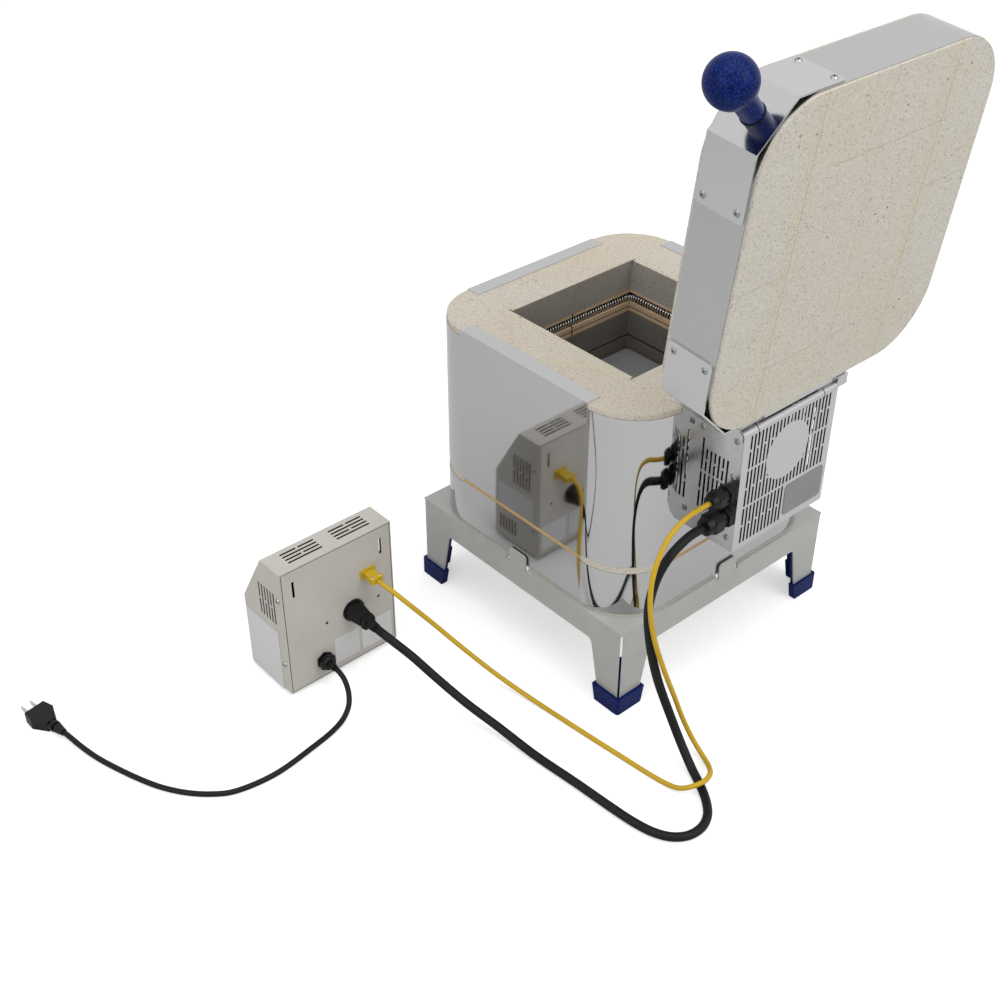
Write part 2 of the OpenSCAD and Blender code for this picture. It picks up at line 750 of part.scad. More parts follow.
// Slots of one vent block: full slots and split slots by turns
module vent_block(columns) for (i = [0 : columns - 1]) translate([i * slot_pitch - slot_w / 2, 0])
    if (i % 2 == 1) square([slot_w, slot_len]);
    else for (z = [0, (slot_len + slot_bridge) / 2]) translate([0, z])
        square([slot_w, (slot_len - slot_bridge) / 2]);

// Vents in the shell's sides
side_columns = 7;
side_vent_in = 11;
side_vent_y = half + side_vent_in;
side_vent_low = 35;
side_vent_high = 85;
tall_slot = 42;
short_slot = 30;

module side_vents() {
    translate([side_vent_y, side_vent_low]) vent_block(side_columns);
    for (i = [0 : side_columns - 1]) translate([side_vent_y + i * slot_pitch - slot_w / 2, side_vent_high])
        if (i == 0) square([slot_w, tall_slot]);
        else if (i % 2 == 0) square([slot_w, short_slot]);
        else for (z = [0, (short_slot + slot_bridge) / 2]) translate([0, z])
            square([slot_w, (short_slot - slot_bridge) / 2]);
}

gland_hole_gap = 0.2;
tc_thread_d = 12;
power_thread_d = 15;

module gland_holes() {
    for (g = [[tc_gland_z, tc_thread_d], [power_gland_z, power_thread_d]])
        rod_x([housing_half - shell_t - cut, gland_y, g[0]], g[1] / 2 + gland_hole_gap, shell_t + 2 * cut);
}

top_slot_half = 49;
top_slot_w = 1.2;
ear_slot_gap = 0.5;
roll_gap = 1.2;
roll_gap_len = 5;
roll_slit = 1.2;
roll_slit_h = 11;

// Side view of the shell, a wall's thickness in: rolled over at the top, open behind the panel
module shell_side(wall, back, front) {
    translate([back, housing_z + wall]) square([bend_y - back, housing_h - 2 * wall]);
    translate([back, housing_z + wall]) square([front - back, housing_h - housing_bend - wall]);
    translate([bend_y, bend_z]) intersection() {
        circle(housing_bend - wall);
        square(housing_bend);
    }
}

// Gap in a side sheet under the roll
module roll_gaps() {
    r = housing_bend - shell_t;
    translate([bend_y, bend_z]) difference() {
        intersection() {
            circle(r);
            square(r);
        }
        circle(r - roll_gap);
    }
    translate([bend_y + r - roll_gap, bend_z - roll_gap_len]) square([roll_gap + shell_t, roll_gap_len]);
}

// Slits over the roll and down the panel, in line with the hinge ears
module roll_slits() for (x = [-1, 1])
    translate([x * (ear_x - ear_t / 2) - roll_slit / 2, bend_y, housing_top - roll_slit_h])
        cube([roll_slit, housing_bend + cut, roll_slit_h + cut]);

module housing_shell() color("silver") at_kiln() difference() {
    rotate([90, 0, 90]) linear_extrude(housing_w, center = true) difference() {
        shell_side(0, half, housing_y - shell_t - lie);
        roll_gaps();
    }
    rotate([90, 0, 90]) linear_extrude(housing_w - 2 * shell_t, center = true)
        shell_side(shell_t, half - cut, housing_y + cut);
    roll_slits();
    for (m = [0, 1]) mirror([m, 0, 0]) translate([housing_half - shell_t - cut, 0, housing_z])
        rotate([90, 0, 90]) linear_extrude(shell_t + 2 * cut) side_vents();
    gland_holes();
    side_screw_holes();
    translate([0, 0, housing_top - shell_t - cut]) {
        for (x = [-1, 1]) translate([x * (ear_x - ear_t / 2) - ear_t / 2 - ear_slot_gap, half - cut, 0])
            cube([ear_t + 2 * ear_slot_gap, pivot_out + boss_r + 2 * cut, shell_t + 2 * cut]);
    }
    translate([-top_slot_half, stop_y + stop_t, housing_top - housing_bend / 2 - cut])
        cube([2 * top_slot_half, top_slot_w, housing_bend / 2 + 2 * cut]);
}

// Perforated panel, with the plain round field and the plain corner for the blank plate
panel_columns = 23;
panel_margin = 7;
plain_z = 104;
blank_w = 67;
blank_h = 42;
blank_r = 5;
blank_x = -39.5;
blank_z = 31;
blank_t = 0.6;
blank_edge = 3;

module panel_vents() difference() {
    for (row = [0, 1, 2])
        translate([-(panel_columns - 1) / 2 * slot_pitch, panel_margin + row * (slot_len + slot_bridge)])
            vent_block(panel_columns);
    translate([0, plain_z]) circle(plain_d / 2);
    translate([blank_x, blank_z])
        square([blank_w + 2 * blank_edge, blank_h + 2 * blank_edge], center = true);
    translate([-housing_half, 0]) square([housing_half + blank_x, blank_z]);
    translate([blank_x - blank_edge, 0]) square([blank_w / 2 + 2 * blank_edge, blank_z]);
}

panel_flange = 14;
panel_tab = 12;

module housing_panel() color("silver") at_kiln() difference() {
    union() {
        translate([-housing_half, housing_y - shell_t, housing_z])
            cube([housing_w, shell_t, housing_h - housing_bend - lie]);
        for (m = [0, 1]) mirror([m, 0, 0]) for (share = panel_screw_shares)
            translate([back_half - flange_t, housing_y - panel_flange,
                housing_z + housing_h * share - panel_tab / 2])
                    cube([flange_t, panel_flange - shell_t / 2, panel_tab]);
    }
    roll_slits();
    translate([0, housing_y + cut, housing_z]) rotate([90, 0, 0]) linear_extrude(shell_t + 2 * cut)
        panel_vents();
    side_screw_holes();
}

// Button-head screw, its head standing out along +Z from the origin
module button_screw(len) difference() {
    union() {
        cylinder(h = head_h, r1 = head_d / 2, r2 = head_d / 3);
        translate([0, 0, -len]) cylinder(h = len, r = screw_d / 2);
    }
    translate([0, 0, head_h / 4]) cylinder(h = head_h, r = head_d * socket_share, $fn = 6);
}

// Hole for such a screw, from its head's seat inwards
module screw_hole(len) translate([0, 0, -len - cut]) cylinder(h = len + 2 * cut, r = screw_d / 2 + lie);

box_screw_z = [42.3, 140.8];
box_screw_y = -9.3;
box_screw_len = 6;

module box_screws_at() for (m = [0, 1]) mirror([m, 0, 0]) for (z = box_screw_z)
    translate([box_half, box_screw_y, z]) children();

module case_screws() color("lightgray") {
    at_kiln() side_screws_at() rotate([0, 90, 0]) button_screw(side_screw_len - cut);
    at_box() box_screws_at() rotate([0, 90, 0]) button_screw(box_screw_len - cut);
}

// Ceramic terminal blocks on the back plate, and their brass screws
module terminal_blocks() color("ivory") at_kiln() for (z = [lower_row_z, upper_row_z]) difference() {
    translate([-block_w / 2, block_y, z - block_h / 2]) cube([block_w, block_d, block_h]);
    for (x = [-1, 1]) {
        rod_y([x * tail_x, block_y - cut, z - x * curl_r], (wire_d + insulator_gap) / 2, bore_depth + cut);
        rod_y([x * tail_x, block_y + block_d - brass_in, z - x * curl_r], brass_d / 2 + lie, brass_in + cut);
    }
}

brass_d = 3;
brass_in = 5;
brass_head_d = 6;
brass_head_h = 1.8;

module terminal_screws() color("gold") at_kiln() for (z = [lower_row_z, upper_row_z], x = [-1, 1])
    translate([x * tail_x, block_y + block_d, z - x * curl_r]) rotate([-90, 0, 0]) {
        cylinder(h = brass_head_h, r = brass_head_d / 2);
        translate([0, 0, -brass_in]) cylinder(h = brass_in, r = brass_d / 2);
    }

// Leads inside the housing and the box
lead_r = 1.6;
lead_step = 4;
lead_bends = 6;
lead_reach = 28;
lead_short = 11;
lead_spread = 3;
lead_drop = 9;
board_lead_in = 15;
gland_end = housing_half - gland_in;

module inner_lead(a, u, b, v, reach = lead_reach) lead(sweep(a, u, b, v, reach), lead_r, 6);

module inner_leads() color("firebrick") {
    side = block_w / 2;
    mid = block_y + block_d / 2;
    left = [-1, 0, 0];
    right = [1, 0, 0];
    up = [0, 0, 1];
    forward = [0, -1, 0];
    at_kiln() {
        inner_lead([gland_end, gland_y - lead_spread, power_gland_z], left, [side, mid, lower_row_z], right);
        inner_lead([gland_end, gland_y + lead_spread, power_gland_z], left, [side, mid, upper_row_z], right);
        inner_lead([-side, mid, lower_row_z], left, [-side, mid, upper_row_z], left);
        inner_lead([gland_end, gland_y, tc_gland_z], left,
            [tc_x + tc_head[0] / 2, block_y + tc_head[1] / 2, tc_z], right, lead_short);
    }
    at_box() {
        top = relay_at + [relay[0] / 2, relay[1] / 2, relay[2]];
        face = relay_at + [relay[0], relay[1] / 2, relay[2] / 2];
        front = relay_at + [relay[0] / 2, 0, relay[2] - lead_drop];
        inner_lead(front, forward, [outlet_x, -outlet_body_d, outlet_z], forward, lead_short);
        inner_lead(top - [board_lead_in, 0, 0], up, slope_pt(board_lead_x, board_low, board_back), slope_in);
        inner_lead([jack_x, -jack_body_d, jack_z], forward, slope_pt(board_lead_x, board_high, board_back),
            slope_in, lead_short);
        inner_lead([mains_x, -gland_in, mains_z], forward, face - [0, 0, lead_drop], right);
        inner_lead(slope_pt(switch_x, switch_s, -switch_deep), slope_in, face, right);
    }
}

// Cable gland along +X: lock nut inside the sheet; hexagon, collar, clamping nut and dome outside
gland_shares = [0.2, 0.42, 0.78];
gland_collar_share = 0.42;
gland_dome_share = 0.42;
lock_nut_t = 4;

module gland(len, hex, thread, cable) {
    hex_r = hex / sqrt(3);
    base = len * gland_shares[0];
    collar = len * gland_shares[1];
    nut = len * gland_shares[2];
    rotate([0, 90, 0]) {
        translate([0, 0, -gland_in]) cylinder(h = gland_in + base, r = thread / 2);
        cylinder(h = base, r = hex_r, $fn = 6);
        translate([0, 0, base]) cylinder(h = collar - base, r = hex * gland_collar_share);
        translate([0, 0, collar]) cylinder(h = nut - collar, r = hex_r, $fn = 6);
        translate([0, 0, nut])
            cylinder(h = len - nut, r1 = hex / 2, r2 = max(hex * gland_dome_share, cable / 2 + lie));
        translate([0, 0, -shell_t - lie - lock_nut_t]) difference() {
            cylinder(h = lock_nut_t, r = hex_r, $fn = 6);
            translate([0, 0, -cut]) cylinder(h = lock_nut_t + 2 * cut, r = thread / 2 + lie);
        }
    }
}

tc_hex = 20;
power_hex = 24;

module tc_gland() color([0.1, 0.1, 0.1]) at_kiln() translate([housing_half, gland_y, tc_gland_z])
    gland(tc_gland_len, tc_hex, tc_thread_d, tc_cable_d);

module power_gland() color([0.1, 0.1, 0.1]) at_kiln() translate([housing_half, gland_y, power_gland_z])
    gland(power_gland_len, power_hex, power_thread_d, power_cable_d);

// Hinge base on the housing's back plate, with an ear at each end
module ear_outline(foot_y, low, high) {
    difference() {
        union() {
            polygon([[foot_y, low], [foot_y + hinge_ear_foot, low], [pivot_y + boss_r, pivot_z - boss_r],
                [pivot_y + boss_r, pivot_z], [pivot_y - boss_r, pivot_z], [foot_y, high]]);
            translate([pivot_y, pivot_z]) circle(boss_r);
        }
        translate([pivot_y, pivot_z]) circle(rod_d / 2 + run_fit);
    }
}

module hinge_base() color("silver") at_kiln() {
    top = housing_top - shell_t - fit;
    translate([-ear_x, block_y, top - hinge_leaf_h]) cube([2 * ear_x, hinge_leaf_t, hinge_leaf_h]);
    for (x = [-ear_x, ear_x - ear_t]) translate([x, 0, 0]) rotate([90, 0, 90]) linear_extrude(ear_t)
        ear_outline(block_y, top - hinge_leaf_h, top);
}

module hinge_rod() color("lightgray") at_kiln() {
    rod_x([-ear_x - rod_over, pivot_y, pivot_z], rod_d / 2, 2 * (ear_x + rod_over));
    for (x = [-ear_x - rod_over, ear_x + fit])
        rod_x([x, pivot_y, pivot_z], rod_d / 2 + rod_head, rod_over - fit);
}

// Stop behind the lid: an upright strip on a foot screwed to the housing top, hooked over its left edge
module lid_stop() color("silver") at_kiln() {
    a = half + bracket_t - pivot_y;
    b = (stop_y + stop_t - pivot_y - a * cos(open_deg)) / sin(open_deg);
    top = pivot_z - a * sin(open_deg) + b * cos(open_deg) - fit;
    translate([-stop_left, stop_y, housing_top]) cube([stop_left + stop_right, stop_t, top - housing_top]);
    translate([-housing_half, stop_y - stop_foot, housing_top])
        cube([housing_half + stop_right, stop_foot + stop_t, stop_t]);
    translate([-stop_left, stop_y, housing_top - stop_hook])
        cube([stop_left - housing_half - lie, stop_hook_d, stop_hook + stop_hook_d]);
}

// Lid, drawn closed and swung open
module lid_brick() color("wheat") at_lid() difference() {
    slab(brick_half, brick_r, lid_z, lid_top, lid_over);
    lid_screws_at() screw_hole(lid_screw_len);
}

module lid_band() color("gainsboro") at_lid() difference() {
    jacket_ring(lid_z + band_edge, lid_top - band_edge, lid_over);
    lid_screws_at() screw_hole(lid_screw_len);
}

// Setback of a bracket's bend from the corner, at a distance t outside the lid
function bend(t) = 2 * corner_r + t - sqrt(2) * (corner_r + side_gap + t);

// Outline of a strip of bracket round the right front corner, between distances 0 and bracket_t
function corner_strip(t) = [[half + t, -half + bend(t)], [half - bend(t), -half - t]];

module bracket_sheet() translate([0, 0, lid_z + bracket_inset]) linear_extrude(lid_h - 2 * bracket_inset)
    children();

// Prism cut off the two free corners of an arm, whose end lies at x = 0 and whose sheet reaches to +X
module end_corners() linear_extrude(bracket_t + 2 * cut) difference() {
    high = lid_h - 2 * bracket_inset;
    translate([-cut, -cut]) square([bracket_r + cut, high + 2 * cut]);
    translate([0, bracket_r]) square([bracket_r, high - 2 * bracket_r]);
    for (z = [bracket_r, high - bracket_r]) translate([bracket_r, z]) circle(bracket_r);
}

module at_front() translate([0, -lid_over, 0]) children();

module front_bracket() color("silver") at_lid() difference() {
    side_end = front_side_arm - half;
    front_end = half - front_arm;
    at_front() difference() {
        bracket_sheet() polygon(concat([[half, side_end], [half + bracket_t, side_end]],
            corner_strip(bracket_t), [[front_end, -half - bracket_t], [front_end, -half]],
            [corner_strip(0)[1], corner_strip(0)[0]]));
        translate([half - cut, side_end, lid_z + bracket_inset]) rotate([90, 0, 90]) mirror([1, 0, 0])
            end_corners();
        translate([front_end, -half + cut, lid_z + bracket_inset]) rotate([90, 0, 0]) end_corners();
    }
    front_screws_at() screw_hole(lid_screw_len);
    at_knob() translate([0, 0, -bracket_t - cut]) cylinder(h = bracket_t + 2 * cut, r = stud_r + lie);
}

// Hinge bracket along the back of the lid, with two lugs on the rod
module hinge_bracket() color("silver") at_lid() {
    right = [for (p = corner_strip(bracket_t)) [p[0], -p[1]]];
    inner = [for (p = corner_strip(0)) [p[0], -p[1]]];
    arm = half - hinge_side_arm;
    difference() {
        bracket_sheet() polygon([[half, arm], [half + bracket_t, arm], right[0], right[1],
            [-right[1][0], right[1][1]], [-right[0][0], right[0][1]], [-half - bracket_t, arm], [-half, arm],
            [-inner[0][0], inner[0][1]], [-inner[1][0], inner[1][1]], inner[1], inner[0]]);
        for (m = [0, 1]) mirror([m, 0, 0]) translate([half - cut, arm, lid_z + bracket_inset])
            rotate([90, 0, 90]) end_corners();
        hinge_screws_at() screw_hole(lid_screw_len);
    }
    for (x = [-ear_x + ear_t + lug_gap, ear_x - 2 * ear_t - lug_gap]) translate([x, 0, 0])
        rotate([90, 0, 90]) linear_extrude(ear_t) difference() {
            union() {
                polygon([[half + bracket_t, lid_z + bracket_inset], [pivot_y, pivot_z - boss_r],
                    [pivot_y, pivot_z + boss_r], [half + bracket_t, lid_z + bracket_inset + 3 * boss_r]]);
                translate([pivot_y, pivot_z]) circle(boss_r);
            }
            translate([pivot_y, pivot_z]) circle(rod_d / 2 + run_fit);
        }
}

// Screw places on the brackets, each with its head's seat on the sheet and its axis pointing out
screw_rows = [lid_z + bracket_inset + screw_edge, lid_top - bracket_inset - screw_edge];

module front_screws_at() at_front() for (z = screw_rows) {
    translate([half + bracket_t, -half + front_side_arm - side_screw_inset, z]) rotate([0, 90, 0]) children();
    translate([half - front_arm + front_screw_inset, -half - bracket_t, z]) rotate([90, 0, 0]) children();
}

module hinge_screws_at() for (m = [0, 1]) mirror([m, 0, 0]) for (z = screw_rows)
    translate([half + bracket_t, half - hinge_side_arm + side_screw_inset, z]) rotate([0, 90, 0]) children();

module lid_screws_at() {
    front_screws_at() children();
    hinge_screws_at() children();
}

module bracket_screws() color("lightgray") at_lid() lid_screws_at() button_screw(lid_screw_len - cut);

// Ball knob on the slanted part of the front bracket, and the stud that holds it
knob_at = half + (bracket_t - bend(bracket_t)) / 2;
neck_share = 0.455;
stud_r = 3;
stud_in = 20;
stud_head_r = 5;
stud_head_h = 1.2;

module at_knob() at_front() translate([knob_at, -knob_at, lid_z + lid_h / 2]) rotate([0, 90, -45])
    children();

module lid_knob() color("midnightblue") at_lid() at_knob() difference() {
    union() {
        cylinder(h = knob_reach, r1 = neck_d * neck_share, r2 = neck_d / 2);
        translate([0, 0, knob_reach]) sphere(knob_d / 2);
    }
    translate([0, 0, -cut]) cylinder(h = stud_in + cut, r = stud_r + lie);
}

module knob_stud() color("lightgray") at_lid() at_knob() translate([0, 0, -bracket_t])
    cylinder(h = bracket_t + stud_in - cut, r = stud_r);

// Control box: cover, back panel, feet
module box_outline() polygon([[0, 0], [0, box_h], [-box_top_d, box_h], [-box_d, box_front_h], [-box_d, 0]]);

// The same outline one sheet further in, open at the back
module box_inside() {
    top_y = -box_top_d + shell_t * (slope_len - slope_run) / slope_rise;
    front_z = box_h - (shell_t * slope_len + slope_rise * (slope_run - shell_t)) / slope_run;
    polygon([[cut, shell_t], [cut, box_h - shell_t], [top_y, box_h - shell_t], [-box_d + shell_t, front_z],
        [-box_d + shell_t, shell_t]]);
}

module box_slab(w) translate([-w / 2, 0, 0]) rotate([90, 0, 90]) linear_extrude(w) children();

box_vent_columns = 6;
box_vent_y = -48.8;
box_vent_z = 99;
top_vent_x = [-58.7, 10.1];
top_vent_y = -31.3;
top_vent_rows = 4;
low_vent_in = 9.1;
low_vent_y = low_vent_in - box_d;
low_vent_z = 11;
low_vent_h = 25;
box_gap = 1;

module box_cover() color("antiquewhite") {
    at_box() difference() {
        box_slab(box_w) box_outline();
        box_slab(box_w - 2 * shell_t) box_inside();
        for (m = [0, 1]) mirror([m, 0, 0]) translate([box_half - shell_t - cut, 0, 0])
            rotate([90, 0, 90]) linear_extrude(shell_t + 2 * cut)
                translate([box_vent_y, box_vent_z]) vent_block(box_vent_columns);
        translate([-box_half - cut, 0, 0]) rotate([90, 0, 90]) linear_extrude(shell_t + 2 * cut)
            for (i = [0 : box_vent_columns - 1]) translate([low_vent_y + i * slot_pitch, low_vent_z])
                square([slot_w, low_vent_h]);
        for (x = top_vent_x) translate([x, top_vent_y, box_h - shell_t - cut])
            linear_extrude(shell_t + 2 * cut) mirror([0, 1]) rotate(-90) vent_block(top_vent_rows);
        box_screws_at() rotate([0, 90, 0]) screw_hole(box_screw_len);
        slope_windows();
    }
}

// Openings of the slanted front, for the keys' stems, the display and the switch
module slope_windows() translate([0, -box_d, box_front_h]) rotate([90 - slope_deg, 0, 0]) {
    depth = shell_t + 2 * cut;
    w = switch_w - 2 * (switch_rim - fit);
    h = switch_h - 2 * (switch_rim - fit);
    translate([0, 0, -shell_t - cut]) {
        translate([panel_x - display_w / 2, display_s - display_h / 2, 0])
            cube([display_w, display_h, depth]);
        for (i = [0 : 2]) translate([key_x + i * key_pitch, key_s, 0]) cylinder(h = depth, r = key_r + fit);
        translate([switch_x - w / 2, switch_s - h / 2, 0]) cube([w, h, depth]);
    }
}

module box_back_panel() color("antiquewhite") at_box() difference() {
    w = box_w - 2 * (shell_t + box_gap);
    h = box_h - 2 * (shell_t + box_gap);
    union() {
        translate([-w / 2, -shell_t, shell_t + box_gap]) cube([w, shell_t, h]);
        for (m = [0, 1]) mirror([m, 0, 0]) translate([w / 2 - flange_t, -flange_d, shell_t + box_gap])
            cube([flange_t, flange_d, h]);
    }
    for (x = [-1, 1]) translate([x * hang_x - hang_w / 2, -shell_t - cut, hang_z])
        cube([hang_w, shell_t + 2 * cut, hang_len]);
    for (x = [-1, 1]) rod_y([outlet_x + x * bracket_holes / 2, -shell_t - cut, outlet_z],
        bracket_hole_d / 2, shell_t + 2 * cut);
    rod_y([outlet_x, -shell_t - cut, outlet_z], outlet_body_r + lie, shell_t + 2 * cut);
    rod_y([mains_x, -shell_t - cut, mains_z], mains_thread_d / 2 + gland_hole_gap, shell_t + 2 * cut);
    translate([jack_x - jack_body_w / 2 - lie, -shell_t - cut, jack_z - jack_body_h / 2 - lie])
        cube([jack_body_w + 2 * lie, shell_t + 2 * cut, jack_body_h + 2 * lie]);
    box_screws_at() rotate([0, 90, 0]) screw_hole(box_screw_len);
}

box_foot_r = 7;
box_foot_low_r = 6;
box_foot_inset = 15;

module box_feet() color([0.12, 0.12, 0.12]) at_box()
    for (x = [-1, 1], y = [-box_foot_inset, box_foot_inset - box_d])
        translate([x * (box_half - box_foot_inset), y, -box_foot_h])
            cylinder(h = box_foot_h, r1 = box_foot_low_r, r2 = box_foot_r);

// Blank plates on the box, each by its centre and size: two on its back, one on each side
back_plates = [[-4.7, 30, 37, 39], [-50.2, 30, 46, 39]];
right_plate = [-50.3, 42.8, 68, 90];
left_plate = [-45.3, 69.8, 68, 38];

module blank_plate(p) linear_extrude(blank_t) translate([p[0], p[1]]) square([p[2], p[3]], center = true);

module blank_plates() color("gray") {
    at_kiln() translate([blank_x, housing_y + blank_t, housing_z + blank_z]) rotate([90, 0, 0])
        linear_extrude(blank_t) round_plate(blank_w, blank_h, blank_r);
    at_box() {
        for (p = back_plates) translate([0, blank_t, 0]) rotate([90, 0, 0]) blank_plate(p);
        translate([box_half, 0, 0]) rotate([90, 0, 90]) blank_plate(right_plate);
        translate([-box_half - blank_t, 0, 0]) rotate([90, 0, 90]) blank_plate(left_plate);
    }
}

// Thermocouple jack, power outlet and mains gland on the back of the box
jack_flange_t = 2.5;
jack_body_w = 16;
jack_body_h = 9;
jack_body_d = 16;
jack_hole_r = 0.9;
jack_hole_in = 1.4;
outlet_flange_t = 3;
outlet_body_r = 13.5;
outlet_body_d = 25;
mains_thread_d = 12;
mains_hex = 20;
mains_gland_len = 12.7;
mains_sleeve_len = 10;
mains_sleeve_shares = [0.25, 0.62];

module tc_jack() color("gold") at_box() {
    difference() {
        translate([jack_x - jack_w / 2, 0, jack_z - jack_h / 2]) cube([jack_w, jack_flange_t, jack_h]);
        for (x = [-1, 1]) rod_y([jack_x + x * (jack_w / 2 - jack_hole_in), -cut, jack_z], jack_hole_r,
            jack_flange_t + 2 * cut);
    }
    translate([jack_x - jack_body_w / 2, -jack_body_d, jack_z - jack_body_h / 2])
        cube([jack_body_w, jack_body_d + jack_flange_t / 2, jack_body_h]);
}

module power_outlet() color([0.1, 0.1, 0.1]) at_box() {
    rod_y([outlet_x, 0, outlet_z], outlet_r, outlet_flange_t);
    rod_y([outlet_x, -outlet_body_d, outlet_z], outlet_body_r, outlet_body_d + outlet_flange_t / 2);
}

module mains_gland() color([0.1, 0.1, 0.1]) at_box() translate([mains_x, 0, mains_z]) rotate(90) {
    gland(mains_gland_len, mains_hex, mains_thread_d, mains_cord_d);
    translate([mains_gland_len, 0, 0]) rotate([0, 90, 0]) cylinder(h = mains_sleeve_len,
        r1 = mains_hex * mains_sleeve_shares[0], r2 = mains_cord_d * mains_sleeve_shares[1]);
}

// Controller: board behind the slanted front, panel, display window, keys
board_deep = 12;
board_t = 1.6;
board_w = 88;
board_h = 60;
spacer_r = 3;
spacer_inset = 5;
transformer = [34, 26, 16];
board_back = -board_deep - board_t;
board_lead_out = 32;
board_lead_down = 22;
board_lead_up = 18;
board_lead_x = panel_x - board_lead_out;
board_low = panel_s - board_lead_down;
board_high = panel_s + board_lead_up;
key_stem = 3;

module controller_board() color("darkgreen") at_slope() {
    translate([panel_x - board_w / 2, panel_s - board_h / 2, board_back]) cube([board_w, board_h, board_t]);
    for (x = [-1, 1], y = [-1, 1]) translate([panel_x + x * (board_w / 2 - spacer_inset),
        panel_s + y * (board_h / 2 - spacer_inset), board_back + board_t / 2])
        cylinder(h = board_deep + board_t / 2 - shell_t, r = spacer_r);
    translate([panel_x - transformer[0] / 2, panel_s - transformer[1] / 2, board_back - transformer[2]])
        cube(transformer);
    for (i = [0 : 2]) translate([key_x + i * key_pitch, key_s, -board_deep])
        cylinder(h = board_deep - shell_t - key_travel - fit - key_stem, r = key_r / 2);
}

module controller_panel() color("dimgray") at_slope() difference() {
    depth = panel_t + 2 * cut;
    translate([panel_x, panel_s, 0]) linear_extrude(panel_t) round_plate(panel_w, panel_h, blank_r);
    translate([panel_x - display_w / 2, display_s - display_h / 2, -cut]) cube([display_w, display_h, depth]);
    for (i = [0 : 2]) translate([key_x + i * key_pitch, key_s, -cut]) cylinder(h = depth, r = key_r + fit);
}

module display_window() color("darkred") at_slope()
    translate([panel_x - display_w / 2 + lie, display_s - display_h / 2 + lie, panel_t - display_t - lie])
        cube([display_w - 2 * lie, display_h - 2 * lie, display_t]);

module key(i) color("whitesmoke") at_slope() translate([key_x + i * key_pitch, key_s, 0]) {
    translate([0, 0, -shell_t - key_stem]) cylinder(h = shell_t + key_stem + panel_t + key_stand, r = key_r);
}

// Power switch in the slanted front and its rocker
module power_switch() color([0.12, 0.12, 0.12]) at_slope() translate([switch_x, switch_s, 0]) difference() {
    pin_half = rocker_w / 2 + rocker_pin_in;
    union() {
        translate([-switch_w / 2, -switch_h / 2, 0]) cube([switch_w, switch_h, switch_rim]);
        translate([-switch_w / 2 + switch_rim, -switch_h / 2 + switch_rim, -switch_deep])
            cube([switch_w - 2 * switch_rim, switch_h - 2 * switch_rim, switch_deep + switch_rim / 2]);
    }
    translate([-rocker_w / 2 - fit, -rocker_h / 2 - fit, -rocker_deep - fit])
        cube([rocker_w + 2 * fit, rocker_h + 2 * fit, rocker_deep + switch_rim + fit + cut]);
    rod_x([-pin_half, 0, rocker_axis], rocker_pin_r + run_fit, 2 * pin_half);
}

rocker_deep = 8;
rocker_axis = -2;
rocker_pin_r = 1.5;
rocker_pin_in = 1.5;

module power_rocker() color([0.2, 0.02, 0.02]) at_slope() translate([switch_x, switch_s, rocker_axis])
    rotate([-rocker_deg, 0, 0]) {
        rocker_r = rocker_h / 2 - fit;
        intersection() {
            rod_x([-rocker_w / 2, 0, 0], rocker_r, rocker_w);
            translate([-rocker_w / 2, -rocker_r, -rocker_r / 2]) cube([rocker_w, 2 * rocker_r, rocker_r]);
        }
        pin_half = rocker_w / 2 + rocker_pin_in - lie;
        rod_x([-pin_half, 0, 0], rocker_pin_r, 2 * pin_half);
    }

// Relay on the back panel, inside
relay = [50, 26, 42];
relay_x = -62;
relay_z = 12;
relay_at = [relay_x, -shell_t - relay[1], relay_z];

module power_relay() color("darkslategray") at_box() translate(relay_at) cube(relay);

// Plugs on the cords; shares are of a plug's own length or width
tc_plug_len = 19;
tc_plug_w = 17;
tc_plug_h = 8.5;
tc_plug_shares = [[0.44, 0], [0.41, 0.5], [0.5, 0.62], [0.5, 0.95], [0.42, 1]];
outlet_plug_shares = [0.9, 0.68];
outlet_face_shares = [1.7, 1.1, 1.45, 0.9];
collar_shares = [1.6, 1.4, 1.45, 1.25];
boot_shares = [0.65, 0.55];
plug_neck_share = 0.6;
plug_neck_len = 2;
mains_plug_shares = [0.2, 0.55, 0.42];
outlet_plug_len = 22;
collar_len = 8;
power_boot_len = 12;
mains_body_len = 34;
mains_body_w = 32;
mains_body_h = 15;
mains_boot_len = 22;
mains_boot_shares = [0.62, 0.95, 0.75, 1.05];
mains_ring_shares = [0.55, 0.7];

module tc_plug() color("gold") at_box() translate([jack_x, jack_flange_t + lie, jack_z - tc_plug_h / 2])
    linear_extrude(tc_plug_h) polygon([for (side = [1, -1]) for (i = [0 : 4])
        let (p = tc_plug_shares[side > 0 ? i : 4 - i]) [side * tc_plug_w * p[0], tc_plug_len * p[1]]]);

// Prism along +Z that tapers from width a to width b over its length
module taper(a, b, len) rotate([90, 0, 0]) linear_extrude(2 * (a + b), center = true)
    polygon([[-a / 2, 0], [a / 2, 0], [b / 2, len], [-b / 2, len]]);

// Block along +Z, tapered both ways; shares are the widths at its two ends over a size
module tapered_block(size, shares, len) intersection() {
    taper(size * shares[0], size * shares[1], len);
    rotate(90) taper(size * shares[2], size * shares[3], len);
}

